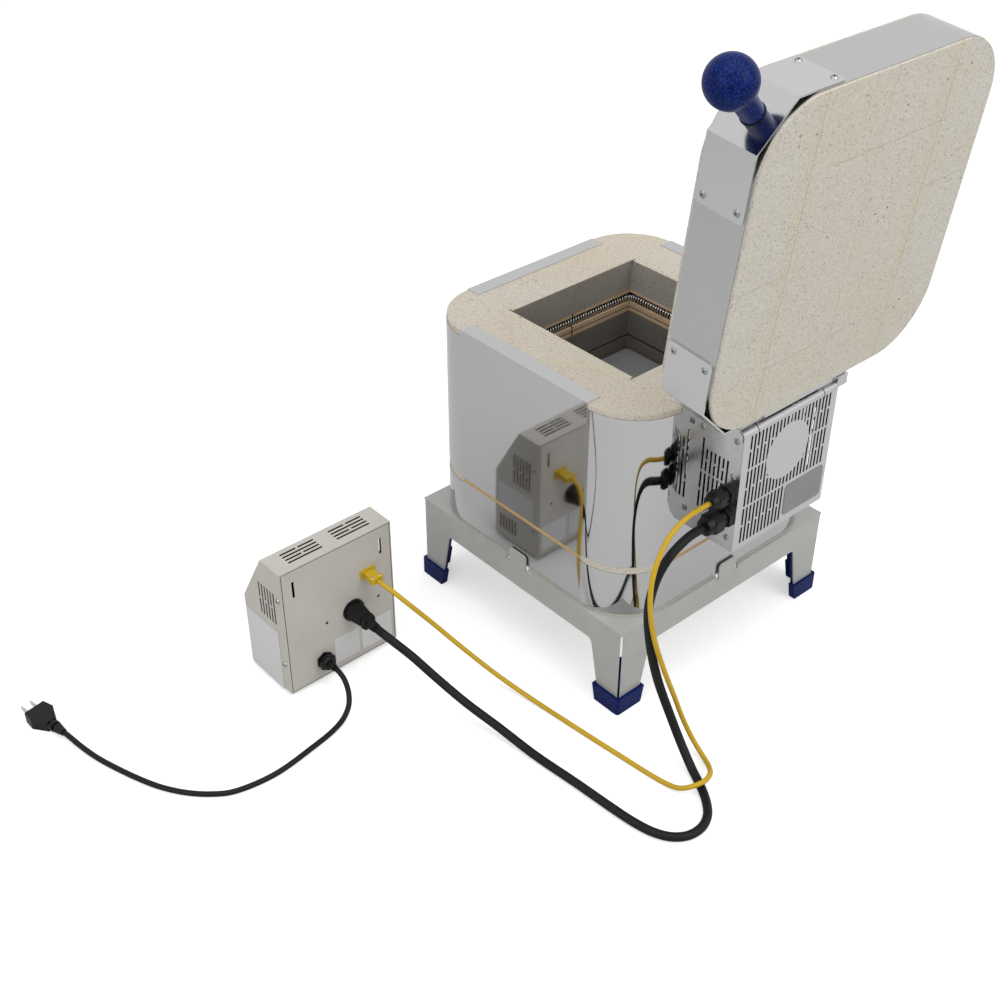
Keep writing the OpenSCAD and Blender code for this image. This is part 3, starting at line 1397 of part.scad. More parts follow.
module power_plug() color([0.12, 0.12, 0.12]) at_box() translate([outlet_x, outlet_flange_t + lie, outlet_z])
    rotate([-90, 0, 0]) {
        intersection() {
            cylinder(h = outlet_plug_len, r1 = outlet_r * outlet_plug_shares[0],
                r2 = outlet_r * outlet_plug_shares[1]);
            tapered_block(outlet_r, outlet_face_shares, outlet_plug_len);
        }
        translate([0, 0, outlet_plug_len]) cylinder(h = plug_neck_len, r = power_cable_d * plug_neck_share);
        translate([0, 0, outlet_plug_len + plug_neck_len])
            tapered_block(power_cable_d, collar_shares, collar_len);
        translate([0, 0, outlet_plug_len + plug_neck_len + collar_len]) cylinder(h = power_boot_len,
            r1 = power_cable_d * boot_shares[0], r2 = power_cable_d * boot_shares[1]);
    }

// Mains plug where the lead ends, lying on the floor
plug_deg = atan2(MAINS_END[1] - MAINS_ROUTE[len(MAINS_ROUTE) - 1][1],
    MAINS_END[0] - MAINS_ROUTE[len(MAINS_ROUTE) - 1][0]);

module at_plug() at_kiln() translate(mains_finish) rotate(plug_deg) children();

module mains_plug() color([0.12, 0.12, 0.12]) at_plug() {
    tail = mains_body_w * mains_plug_shares[0];
    wide = mains_body_len * mains_plug_shares[1];
    nose = mains_body_w * mains_plug_shares[2];
    translate([mains_boot_len, 0, -mains_body_h / 2]) linear_extrude(mains_body_h)
        polygon([[0, -tail], [wide, -mains_body_w / 2], [mains_body_len, -nose], [mains_body_len, nose],
            [wide, mains_body_w / 2], [0, tail]]);
    rotate([0, 90, 0]) {
        ring = mains_boot_len * mains_ring_shares[0];
        body = mains_boot_len * mains_ring_shares[1];
        r = mains_cord_d * mains_boot_shares;
        cylinder(h = ring, r1 = r[0], r2 = r[1]);
        translate([0, 0, ring]) cylinder(h = body - ring, r = r[2]);
        translate([0, 0, body]) cylinder(h = mains_boot_len - body, r = r[3]);
    }
}

blade = [17, 6.3, 1.5];
blade_gap = 12.7;

module plug_blades() color("lightgray") at_plug() for (y = [-1, 1])
    translate([mains_boot_len + mains_body_len, y * blade_gap / 2 - blade[2] / 2, -blade[1] / 2])
        cube([blade[0], blade[2], blade[1]]);

// Cords: two diameters straight out of a housing, along the route, one diameter straight into the plug
tc_start = [housing_half + tc_gland_len, gland_y, tc_gland_z];
power_start = [housing_half + power_gland_len, gland_y, power_gland_z];
tc_finish = [box_x + jack_x, box_y + jack_flange_t + lie + tc_plug_len, box_z + jack_z];
power_plug_len = outlet_plug_len + plug_neck_len + collar_len + power_boot_len;
power_finish = [box_x + outlet_x, box_y + outlet_flange_t + lie + power_plug_len, box_z + outlet_z];
mains_start = [box_x + mains_x, box_y + mains_gland_len + mains_sleeve_len, box_z + mains_z];
plug_line = [cos(plug_deg), sin(plug_deg), 0];
mains_finish = [MAINS_END[0], MAINS_END[1], mains_body_h / 2];

module tc_cable() color("gold") at_kiln() lead(concat([tc_start, tc_start + tc_cable_d * [2, 0, 0]],
    TC_ROUTE, [tc_finish + tc_cable_d * [0, 1, 0], tc_finish]), tc_cable_d / 2, 8);

module power_cable() color([0.08, 0.08, 0.08]) at_kiln()
    lead(concat([power_start, power_start + power_cable_d * [2, 0, 0]], POWER_ROUTE,
        [power_finish + power_cable_d * [0, 1, 0], power_finish]), power_cable_d / 2, 8);

module mains_cord() color([0.08, 0.08, 0.08]) at_kiln()
    lead(concat([mains_start, mains_start + mains_cord_d * [0, 1, 0]], MAINS_ROUTE,
        [mains_finish - mains_cord_d * plug_line, mains_finish]), mains_cord_d / 2, 8);

stand();
foot_cap(0);  // foot_cap_1
foot_cap(1);  // foot_cap_2
foot_cap(2);  // foot_cap_3
foot_cap(3);  // foot_cap_4
base_brick();
base_jacket();
seam_seals();
lower_brick();
upper_brick();
body_jacket();
element_holders();
lower_element();
upper_element();
element_insulators();
kiln_shelf();
shelf_posts();
thermocouple();
housing_back();
housing_shell();
housing_panel();
blank_plates();
case_screws();
terminal_blocks();
terminal_screws();
inner_leads();
tc_gland();
power_gland();
hinge_base();
hinge_rod();
lid_stop();
lid_brick();
lid_band();
front_bracket();
hinge_bracket();
bracket_screws();
lid_knob();
knob_stud();
tc_cable();
power_cable();
mains_cord();
tc_plug();
power_plug();
mains_plug();
plug_blades();
box_cover();
box_back_panel();
box_feet();
tc_jack();
power_outlet();
mains_gland();
controller_board();
controller_panel();
display_window();
key(0);  // key_1
key(1);  // key_2
key(2);  // key_3
power_switch();
power_rocker();
power_relay();
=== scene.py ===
import math

import bpy
import numpy as np
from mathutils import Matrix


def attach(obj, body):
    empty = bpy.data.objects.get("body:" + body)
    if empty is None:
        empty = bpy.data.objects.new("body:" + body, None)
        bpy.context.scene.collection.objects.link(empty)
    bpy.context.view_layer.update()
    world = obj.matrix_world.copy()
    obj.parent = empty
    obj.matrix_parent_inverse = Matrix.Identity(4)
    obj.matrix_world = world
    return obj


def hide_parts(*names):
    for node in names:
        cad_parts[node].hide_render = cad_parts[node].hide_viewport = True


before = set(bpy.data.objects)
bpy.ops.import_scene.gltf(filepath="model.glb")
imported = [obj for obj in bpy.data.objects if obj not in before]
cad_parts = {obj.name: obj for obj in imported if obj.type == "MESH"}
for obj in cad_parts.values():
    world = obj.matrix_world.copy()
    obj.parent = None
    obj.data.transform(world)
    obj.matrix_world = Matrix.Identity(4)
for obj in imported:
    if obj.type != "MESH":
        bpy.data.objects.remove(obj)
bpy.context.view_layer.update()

# The view. The camera stands behind the kiln on the side of the control box and looks down on both,
# as in the photograph; its place, tilt and lens were solved from the photograph's straight edges.
camera_data = bpy.data.cameras.new("camera")
camera_data.sensor_width = 36.0
camera_data.lens = 51.818
camera = bpy.data.objects.new("camera", camera_data)
camera.location = (0.97242, 0.96579, 1.22155)
camera.rotation_euler = (math.radians(90 - 35.970), 0.0, math.radians(228.721 - 90))
bpy.context.scene.collection.objects.link(camera)
bpy.context.scene.camera = camera


# The cords. A yellow thermocouple cable and a black power cable run from the glands on the element
# housing to the sockets on the control box, and a thin mains lead runs from the box to its plug.
# Each is a round extruded jacket, limp enough to lie on the floor in loose curves.
def smooth_path(points, step):
    """Centripetal Catmull-Rom curve through the points: each knot value grows by the square root of the
    distance, and each stretch is cut into pieces about one step long."""
    p = np.array(points, float)
    p = np.vstack([2 * p[0] - p[1], p, 2 * p[-1] - p[-2]])
    knots = np.concatenate([[0.0], np.cumsum(np.linalg.norm(np.diff(p, axis=0), axis=1) ** 0.5)])
    parts = []
    for i in range(1, len(p) - 2):
        k0, k1, k2, k3 = knots[i - 1:i + 3]
        count = max(2, int(round(np.linalg.norm(p[i + 1] - p[i]) / step)))
        t = np.linspace(k1, k2, count, endpoint=False)[:, None]
        a1 = ((k1 - t) * p[i - 1] + (t - k0) * p[i]) / (k1 - k0)
        a2 = ((k2 - t) * p[i] + (t - k1) * p[i + 1]) / (k2 - k1)
        a3 = ((k3 - t) * p[i + 1] + (t - k2) * p[i + 2]) / (k3 - k2)
        b1 = ((k2 - t) * a1 + (t - k0) * a2) / (k2 - k0)
        b2 = ((k3 - t) * a2 + (t - k1) * a3) / (k3 - k1)
        parts.append(((k2 - t) * b1 + (t - k1) * b2) / (k2 - k1))
    return np.vstack(parts + [p[-2:-1]])


def grid_mesh(name, rows, closed=False, caps=False, smooth=True, loop=False):
    """Surface over a grid of points, one row of the array for each ring: neighbours are joined in quads,
    the last column to the first where the rings are closed, the last ring to the first in a loop, and one
    face closes each end ring where caps are asked for."""
    n, m = rows.shape[:2]
    i, j = np.meshgrid(np.arange(n if loop else n - 1), np.arange(m if closed else m - 1), indexing="ij")
    k, h = (j + 1) % m, (i + 1) % n
    quads = np.stack([i * m + j, i * m + k, h * m + k, h * m + j], axis=-1).reshape(-1, 4)
    faces = quads.tolist()
    if caps:
        faces += [list(range(m))[::-1], list(range((n - 1) * m, n * m))]
    mesh = bpy.data.meshes.new(name)
    mesh.from_pydata(rows.reshape(-1, 3).tolist(), [], faces)
    mesh.polygons.foreach_set("use_smooth", np.full(len(faces), smooth))
    if caps:
        mesh.polygons[-1].use_smooth = False
        mesh.polygons[-2].use_smooth = False
    mesh.update()
    made = bpy.data.objects.new(name, mesh)
    bpy.context.scene.collection.objects.link(made)
    return made


def sweep(path, radii, sides, lean=(1.0, 1.4, 2.8)):
    """Rings of a round tube: each ring lies in the plane square to the path's direction, its first arm
    being the part of the lean vector square to that direction, and its radius is that of its point."""
    ahead = np.gradient(path, axis=0)
    ahead /= np.linalg.norm(ahead, axis=1)[:, None]
    lean = np.broadcast_to(lean, path.shape)
    arm = lean - (ahead * lean).sum(axis=1)[:, None] * ahead
    arm /= np.linalg.norm(arm, axis=1)[:, None]
    across = np.cross(ahead, arm)
    turn = np.linspace(0, 2 * np.pi, sides, endpoint=False)
    spokes = np.cos(turn)[None, :, None] * arm[:, None] + np.sin(turn)[None, :, None] * across[:, None]
    return path[:, None] + np.broadcast_to(radii, len(path))[:, None, None] * spokes


def node(tree, kind, sockets=(), **settings):
    """One shader node: settings are its properties, and sockets its inputs by name or number, each a
    plain value or another node's output."""
    made = tree.nodes.new(kind)
    for key, value in settings.items():
        setattr(made, key, value)
    for key, value in dict(sockets).items():
        if isinstance(value, bpy.types.NodeSocket):
            tree.links.new(value, made.inputs[key])
        else:
            made.inputs[key].default_value = value
    return made


def finish(name, **sockets):
    """A material with one Principled BSDF, its plain socket values set, and its tree and shader."""
    made = bpy.data.materials.new(name)
    made.use_nodes = True
    shader = made.node_tree.nodes["Principled BSDF"]
    for key, value in sockets.items():
        shader.inputs[key.replace("_", " ")].default_value = value
    return made, made.node_tree, shader


def wire(tree, shader, **sources):
    """Links outputs to the shader's inputs of the given names."""
    for key, source in sources.items():
        tree.links.new(source, shader.inputs[key.replace("_", " ")])


def own_point(tree):
    """The shaded point in its object's own frame."""
    return node(tree, "ShaderNodeTexCoord").outputs["Object"]


def noise(tree, place, scale, detail=2.0, roughness=0.5):
    """Grey noise from 0 to 1."""
    return node(tree, "ShaderNodeTexNoise", {"Vector": place, "Scale": scale, "Detail": detail,
                                             "Roughness": roughness}).outputs["Fac"]


def rescale(tree, value, source, target):
    """Value taken from the source range over to the target range, and held at its ends."""
    return node(tree, "ShaderNodeMapRange", {
        "Value": value, "From Min": source[0], "From Max": source[1], "To Min": target[0],
        "To Max": target[1]}).outputs["Result"]


def mix(tree, share, first, second, **settings):
    """Colour that goes from the first to the second as the share goes from 0 to 1."""
    ends = [end if isinstance(end, bpy.types.NodeSocket) else tuple(end) + (1,) for end in (first, second)]
    return node(tree, "ShaderNodeMix", {0: share, 6: ends[0], 7: ends[1]}, data_type="RGBA",
                **settings).outputs[2]


def bump(tree, height, strength, distance):
    """Normal bent by a height."""
    return node(tree, "ShaderNodeBump", {"Height": height, "Strength": strength,
                                         "Distance": distance}).outputs["Normal"]


def ramp(tree, value, stops):
    """Colour ramp through the stops, each a place from 0 to 1 with a grey level or a colour."""
    made = node(tree, "ShaderNodeValToRGB", {"Fac": value})
    marks = made.color_ramp.elements
    while len(marks) < len(stops):
        marks.new(0.5)
    for mark, (place, colour) in zip(marks, stops):
        mark.position = place
        mark.color = (colour,) * 3 + (1,) if isinstance(colour, (int, float)) else tuple(colour) + (1,)
    return made.outputs["Color"]


def group(name, inputs, outputs):
    """An empty shader node group with its named inputs, each with a starting value, and outputs."""
    tree = bpy.data.node_groups.new(name, "ShaderNodeTree")
    for label, start in inputs.items():
        kind = "NodeSocketColor" if isinstance(start, tuple) else "NodeSocketFloat"
        socket = tree.interface.new_socket(label, in_out="INPUT", socket_type=kind)
        socket.default_value = start + (1,) if isinstance(start, tuple) else start
    for label, kind in outputs.items():
        tree.interface.new_socket(label, in_out="OUTPUT", socket_type=kind)
    return tree, tree.nodes.new("NodeGroupInput").outputs, tree.nodes.new("NodeGroupOutput").inputs


def moulded_grain():
    """Group for moulded, extruded and painted skins: fine noise as bump."""
    tree, given, out = group("moulded_grain", {"Scale": 900.0, "Depth": 0.1},
                             {"Normal": "NodeSocketVector"})
    height = noise(tree, own_point(tree), given["Scale"], detail=3.0)
    tree.links.new(bump(tree, height, given["Depth"], 0.0002), out["Normal"])
    return tree


grain = moulded_grain()


def skin(name, colour, scuffed, roughness, scale=900.0, depth=0.1, **sockets):
    """A moulded or painted skin: grain bump, and a colour that drifts a little towards a scuffed one."""
    made, tree, shader = finish(name, **sockets)
    fine = node(tree, "ShaderNodeGroup", {"Scale": scale, "Depth": depth}, node_tree=grain)
    drift = noise(tree, own_point(tree), 22.0, detail=4.0)
    spread = 0.05
    wire(tree, shader, Normal=fine.outputs["Normal"],
         Base_Color=mix(tree, ramp(tree, drift, [(0.35, 0.0), (0.75, 1.0)]), colour, scuffed),
         Roughness=rescale(tree, drift, (0.0, 1.0), (roughness - spread, roughness + spread)))
    return made


yellow_jacket = skin("yellow_jacket", (0.52, 0.33, 0.01), (0.46, 0.29, 0.012), 0.42, depth=0.06,
                     Specular_IOR_Level=0.3)
black_jacket = skin("black_jacket", (0.003, 0.003, 0.0035), (0.006, 0.006, 0.006), 0.5, depth=0.12,
                    Specular_IOR_Level=0.2)

KILN_X, KILN_Y = -137.675, -60.597


def row_point(x, y, z):
    """A point given from the middle of the kiln, in millimetres, in the row frame in metres."""
    return np.array([x + KILN_X, y + KILN_Y, z]) / 1000


def lay_cord(name, route, diameter, jacket, solid):
    """A cord on its route, attached to the kiln's body in place of its CAD solid, which is hidden."""
    rings_per_diameter, sides = 2.2, 20
    path = smooth_path([row_point(*p) for p in route], diameter / rings_per_diameter)
    made = grid_mesh(name, sweep(path, diameter / 2, sides), closed=True, caps=True)
    made.data.materials.append(jacket)
    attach(made, "kiln")
    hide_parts(solid)


TC_ROUTE = [(109, 230, 303), (121, 230, 303), (138, 230, 302.5), (156, 231, 299.5), (172, 232, 291.5),
            (186, 234, 279), (197, 236, 261), (203, 238, 239), (203.5, 241, 205), (198, 245, 168),
            (185, 250, 122), (170, 257, 75), (162, 265, 43), (159, 276, 23), (159, 289, 11), (162, 303, 6),
            (169, 317, 7), (180, 328, 12), (194, 333, 15), (208, 330, 14), (218, 319, 8), (222, 303, 4),
            (231, 230, 3), (247, 90, 6), (259, 45, 19), (278, 8, 46), (302, -20, 82), (323, -38, 112),
            (331, -49, 123.5), (335.5, -59, 129.5), (337.5, -69.1, 131.7), (337.5, -75.1, 131.7)]
POWER_ROUTE = [(114.5, 230, 273), (135.5, 230, 273), (152, 231, 270), (168, 231, 262), (180, 230, 248),
               (188, 229, 230), (194, 229, 200), (193, 234, 155), (187, 244, 104), (180, 264, 52),
               (181, 285, 23), (187, 307, 8), (199, 333, 5.5), (210, 350, 5.5), (223.5, 364, 5.5),
               (241, 371.5, 5.5), (260, 370, 5.5), (275, 360, 5.5), (285, 344, 5.5), (291.5, 320, 5.5),
               (300, 230, 5.5), (306, 170, 6), (313, 115, 14), (324, 70, 27), (335, 30, 45), (347, -2, 66),
               (356, -17, 79), (360, -28, 84.5), (361.7, -39.1, 86.5), (361.7, -49.6, 86.5)]
MAINS_ROUTE = [(409, -74, 33.7), (409, -67.4, 33.7), (410, -55, 30), (414, -42, 21), (422, -31.5, 12),
               (436, -23.5, 5.5), (455, -17, 3.5), (492, -10, 3.5), (550, -4, 3.5), (598, -13, 3.5),
               (618, -26, 3.5), (636, -44, 3.5), (652, -67, 3.5), (665, -94, 3.5), (685, -153, 3.5),
               (692, -184, 4.5), (696.9, -212.5, 7.5), (698, -219, 7.5)]
lay_cord("thermocouple_cable", TC_ROUTE, 0.006, yellow_jacket, "tc_cable")
lay_cord("power_cable_jacket", POWER_ROUTE, 0.0105, black_jacket, "power_cable")
lay_cord("mains_lead", MAINS_ROUTE, 0.0066, black_jacket, "mains_cord")


# The firebrick. Base slab, two courses round the chamber and the lid are sawn from soft insulating
# brick: cream, open-pored, with brown specks, small pits and thin cemented joints between the bricks.
# The chamber's walls are painted grey as painted shade, darker lower down, and the courses meet in a dry
# joint whose back is painted black as painted shade.
def paint(material, *names):
    """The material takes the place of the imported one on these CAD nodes."""
    for name in names:
        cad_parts[name].data.materials.clear()
        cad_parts[name].data.materials.append(material)


def math_node(tree, operation, first, second=0.0, third=0.0):
    """Output of one Math node, its inputs plain values or outputs."""
    return node(tree, "ShaderNodeMath", {0: first, 1: second, 2: third}, operation=operation).outputs[0]


def product(tree, first, *others):
    """All the values multiplied."""
    for other in others:
        first = math_node(tree, "MULTIPLY", first, other)
    return first


def split(tree, vector):
    """The vector's x, y and z."""
    return list(node(tree, "ShaderNodeSeparateXYZ", {"Vector": vector}).outputs)


def strip(tree, value, low, high, soft=1e-4):
    """Mask that is 1 where the value lies between low and high, with soft edges."""
    rise = rescale(tree, value, (low - soft, low), (0.0, 1.0))
    fall = rescale(tree, value, (high, high + soft), (0.0, 1.0))
    return math_node(tree, "SUBTRACT", rise, fall)


def cells(tree, place, scale, channel):
    """Cells of about one size: the distance from each cell's own point, and one random value a cell."""
    made = node(tree, "ShaderNodeTexVoronoi", {"Vector": place, "Scale": scale})
    chance = node(tree, "ShaderNodeSeparateColor", {"Color": made.outputs["Color"]}).outputs[channel]
    return made.outputs["Distance"], chance


def brick_grain():
    """Group for sawn firebrick: cream with warm clouds, fine brown specks and sparse dark pits, and the
    same marks as a bump height. Stain is a mask of more warmth, and Joints one of the cement lines."""
    tree, given, out = group("brick_grain", {"Cream": (0.62, 0.57, 0.47), "Warm": (0.6, 0.5, 0.33),
                                             "Speck": (0.2, 0.13, 0.08), "Warmth": 0.4, "Stain": 0.0,
                                             "Joints": 0.0},
                             {"Color": "NodeSocketColor", "Height": "NodeSocketFloat"})
    place = own_point(tree)
    cloud = ramp(tree, noise(tree, place, 9.0, detail=5.0), [(0.42, 0.0), (0.66, 1.0)])
    warm = math_node(tree, "MAXIMUM", product(tree, cloud, given["Warmth"]), given["Stain"])
    body = mix(tree, warm, given["Cream"], given["Warm"])
    mottle = noise(tree, place, 420.0, detail=4.0, roughness=0.7)
    light = rescale(tree, mottle, (0.3, 0.7), (0.8, 1.14))
    mottled = mix(tree, 1.0, body, light, blend_type="MULTIPLY")
    middle, chance = cells(tree, place, 330.0, "Red")
    rarity = rescale(tree, noise(tree, place, 30.0), (0.35, 0.65), (0.86, 0.5))
    specks = product(tree, math_node(tree, "GREATER_THAN", chance, rarity),
                     ramp(tree, middle, [(0.16, 1.0), (0.34, 0.0)]))
    specked = mix(tree, product(tree, specks, 0.62), mottled, given["Speck"])
    middle, chance = cells(tree, place, 70.0, "Green")
    pits = product(tree, math_node(tree, "GREATER_THAN", chance, 0.82),
                   ramp(tree, middle, [(0.05, 1.0), (0.12, 0.0)]))
    pitted = mix(tree, pits, specked, (0.16, 0.1, 0.06))
    tree.links.new(mix(tree, given["Joints"], pitted, (0.36, 0.31, 0.23)), out["Color"])
    marks = math_node(tree, "MAXIMUM", specks, pits)
    tree.links.new(math_node(tree, "SUBTRACT", mottle, marks), out["Height"])
    return tree


brick_group = brick_grain()


def brick_face(name, warmth, cream, warm):
    """Firebrick with its own cream and share of warm stain; gives its tree, group node and shader too."""
    made, tree, shader = finish(name, Roughness=0.92, Specular_IOR_Level=0.15)
    brick = node(tree, "ShaderNodeGroup", {"Warmth": warmth, "Cream": tuple(cream) + (1,),
                                           "Warm": tuple(warm) + (1,)}, node_tree=brick_group)
    wire(tree, shader, Base_Color=brick.outputs["Color"],
         Normal=bump(tree, brick.outputs["Height"], 0.5, 0.0006))
    return made, tree, brick, shader


def beyond_walls(tree, x, y, reach=0.1021):
    """Further from the kiln's middle than the chamber's walls: the bottom of grooves and slits."""
    across = math_node(tree, "ABSOLUTE", math_node(tree, "SUBTRACT", x, KILN_X / 1000))
    along = math_node(tree, "ABSOLUTE", math_node(tree, "SUBTRACT", y, KILN_Y / 1000))
    return math_node(tree, "GREATER_THAN", math_node(tree, "MAXIMUM", across, along), reach)


def body_walls():
    """Body brick, painted grey as painted shade on the walls of the chamber and darker lower down, which is
    told from its place, and painted black as painted shade at the back of the joint between the courses."""
    made, tree, brick, shader = brick_face("body_brick", 0.5, (0.57, 0.525, 0.455), (0.56, 0.49, 0.37))
    x, y, z = split(tree, own_point(tree))
    reach = 0.107
    inside = product(tree, strip(tree, x, KILN_X / 1000 - reach, KILN_X / 1000 + reach),
                     strip(tree, y, KILN_Y / 1000 - reach, KILN_Y / 1000 + reach))
    under_rim = rescale(tree, z, (0.3995, 0.4004), (1.0, 0.0))
    # Painted shade: a grey tint on the chamber's walls below the rim.
    wall_shade = mix(tree, product(tree, inside, under_rim), (1, 1, 1), (0.56, 0.575, 0.6))
    # Painted shade: the grey grows darker lower down in the chamber.
    deeper = rescale(tree, z, (0.345, 0.335), (1.0, 0.5))
    wall_shade = mix(tree, inside, wall_shade, mix(tree, 1.0, wall_shade, deeper, blend_type="MULTIPLY"))
    both = mix(tree, 1.0, brick.outputs["Color"], wall_shade, blend_type="MULTIPLY")
    # Painted shade: the back of the joint between the courses is painted near black.
    joint = product(tree, inside, beyond_walls(tree, x, y), strip(tree, z, 0.2922, 0.2948))
    wire(tree, shader, Base_Color=mix(tree, joint, both, (0.006, 0.006, 0.006)))
    return made


def lid_bricks():
    """Lid brick with its joints, drawn in the closed lid's own frame: long joints 99 mm apart, cross joints
    by turns, and a warm stain along them."""
    made, tree, brick, _ = brick_face("lid_slab", 0.4, (0.53, 0.507, 0.45), (0.54, 0.475, 0.36))
    pivot_y, pivot_z, opened = 200.8, 405.2, math.radians(96.4)
    pivot = row_point(0, pivot_y, pivot_z)
    closed_y = pivot[1] * math.cos(opened) - pivot[2] * math.sin(opened)
    flat = node(tree, "ShaderNodeMapping", {
        "Vector": own_point(tree), "Location": (-KILN_X / 1000, pivot_y / 1000 - closed_y, 0.0),
        "Rotation": (opened, 0.0, 0.0)}).outputs["Vector"]
    wobble = noise(tree, flat, 60.0)
    x, y = [math_node(tree, "MULTIPLY_ADD", wobble, 0.0006, value) for value in split(tree, flat)[:2]]
    half, soft = 0.0003, 0.0004
    lines = stains = 0.0
    for middle, strength in ((0.1, 0.75), (-0.001, 0.4), (-0.099, 0.8)):
        line = product(tree, strip(tree, x, middle - half, middle + half, soft), strength)
        stain = product(tree, strip(tree, x, middle + 0.001, middle + 0.01, 0.012), 0.7 * strength)
        lines = math_node(tree, "MAXIMUM", lines, line)
        stains = math_node(tree, "MAXIMUM", stains, stain)
    for middle, left, right in ((0.001, 0.1, 0.18), (-0.102, -0.099, 0.06), (0.112, -0.03, 0.1),
                                (-0.03, -0.18, -0.099)):
        cross = product(tree, strip(tree, y, middle - half, middle + half, soft),
                        strip(tree, x, left, right, 0.001), 0.6)
        lines = math_node(tree, "MAXIMUM", lines, cross)
    middles = product(tree, strip(tree, x, -0.099, 0.1, 0.002), 0.22)
    tree.links.new(lines, brick.inputs["Joints"])
    tree.links.new(math_node(tree, "MAXIMUM", stains, middles), brick.inputs["Stain"])
    return made


def soften(width, *names):
    """Small rounds on a CAD node's sharp edges: its points are joined, the edges cut back by the width,
    and the normals weighted so that flat faces stay flat."""
    for name in names:
        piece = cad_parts[name]
        piece.modifiers.new("weld", "WELD").merge_threshold = 1e-5
        edge = piece.modifiers.new("edge", "BEVEL")
        edge.width = width
        edge.segments = 2
        edge.limit_method = "ANGLE"
        edge.angle_limit = math.radians(40)
        piece.modifiers.new("shade", "WEIGHTED_NORMAL").keep_sharp = True


paint(body_walls(), "base_brick", "lower_brick", "upper_brick")
paint(lid_bricks(), "lid_brick")
soften(0.0012, "lid_brick")
soften(0.0006, "upper_brick")


# The bright sheet metal. Polished stainless jackets wrap base and body, with brackets folded from the same
# sheet and screwed on, and a satin band holds the lid's bricks together. Rod, stud and screws are steel.
def polished(name, colour, roughness, waviness):
    """Polished sheet: faint streaks in the gloss and a slow waviness of the surface."""
    made, tree, shader = finish(name, Metallic=1.0, Base_Color=tuple(colour) + (1,))
    place = own_point(tree)
    smear = noise(tree, place, 60.0, detail=4.0)
    wave = noise(tree, place, 7.0, detail=1.0)
    wire(tree, shader, Normal=bump(tree, wave, waviness, 0.002),
         Roughness=rescale(tree, smear, (0.0, 1.0), (roughness * 0.6, roughness * 1.4)))
    return made


paint(polished("mirror_sheet", (0.49, 0.49, 0.497), 0.05, 0.12), "base_jacket", "body_jacket")
paint(polished("bracket_sheet", (0.54, 0.54, 0.545), 0.1, 0.1), "front_bracket", "hinge_bracket",
      "lid_stop", "hinge_base")
paint(polished("band_sheet", (0.46, 0.46, 0.465), 0.3, 0.1), "lid_band")
paint(polished("rod_steel", (0.32, 0.32, 0.32), 0.28, 0.05), "hinge_rod", "knob_stud", "case_screws",
      "bracket_screws")

# The stand. One sheet of steel folded down on its four sides, its legs cut out with the corners left open,
# and powder-coated in a pale grey.
paint(skin("stand_coat", (0.39, 0.39, 0.375), (0.35, 0.35, 0.335), 0.34, scale=1400,
           Specular_IOR_Level=0.6), "stand")
soften(0.001, "stand")


# The element housing. A bent cover of satin steel, punched with vent slots, screwed to a back plate on the
# body; nothing lights its inside.
def darkened(material, masks):
    """The colour of a material turned near black where the mask, made by a function of the tree and the
    point's x, y and z, is 1: the unlit inside of a case or groove."""
    tree = material.node_tree
    shader = tree.nodes["Principled BSDF"]
    inside = masks(tree, *split(tree, own_point(tree)))
    link = shader.inputs["Base Color"].links
    colour = link[0].from_socket if link else tuple(shader.inputs["Base Color"].default_value)[:3]
    matt = math_node(tree, "SUBTRACT", 1.0, inside)
    wire(tree, shader, Base_Color=mix(tree, inside, colour, (0.008, 0.008, 0.008)),
         Specular_IOR_Level=product(tree, matt, 0.5),
         Metallic=product(tree, matt, shader.inputs["Metallic"].default_value))
    return material


def in_housing(tree, x, y, z):
    """Between the inner faces of the housing's sheets and under its rolled top edge."""
    half_width, back, front, low, high = 0.0777, 0.1, 0.1825, 0.2287, 0.3863
    roll_y, roll_z, roll_radius = 0.1752, 0.379, 0.0074
    out_y, out_z = [math_node(tree, "MAXIMUM", math_node(tree, "SUBTRACT", value, start), 0.0)
                    for value, start in ((y, roll_y), (z, roll_z))]
    squared = math_node(tree, "MULTIPLY_ADD", out_y, out_y, product(tree, out_z, out_z))
    return product(tree, strip(tree, x, KILN_X / 1000 - half_width, KILN_X / 1000 + half_width),
                   strip(tree, y, back, front), strip(tree, z, low, high),
                   math_node(tree, "LESS_THAN", math_node(tree, "SQRT", squared), roll_radius))


# Painted shade: the inside of the housing's sheets is painted near black.
paint(darkened(polished("housing_sheet", (0.56, 0.56, 0.56), 0.24, 0.08), in_housing), "housing_back",
      "housing_shell", "housing_panel")


# The control box. A cover folded from steel sheet, with vents in its top and sides and a slanted front,
# screwed to a flat back panel, both powder-coated in beige. Its bare plates are nearly white, and the
# housing's is grey.
def in_box(tree, x, y, z):
    """Between the inner faces of the control box's sheets, behind its slanted front."""
    middle_x, half_width, rear_y, depth = 0.24152, 0.0789, -0.1573, 0.0855
    low, high, sheet = 0.0068, 0.1891, 0.0006
    bend_y, bend_z, slant_y, slant_z = rear_y - 0.0861, 0.1107, -0.8632, 0.5048
    out = math_node(tree, "ADD", product(tree, math_node(tree, "SUBTRACT", y, bend_y), slant_y),
                    product(tree, math_node(tree, "SUBTRACT", z, bend_z), slant_z))
    return product(tree, strip(tree, x, middle_x - half_width, middle_x + half_width),
                   strip(tree, y, rear_y - depth, rear_y - sheet), strip(tree, z, low, high),
                   math_node(tree, "LESS_THAN", out, -sheet))


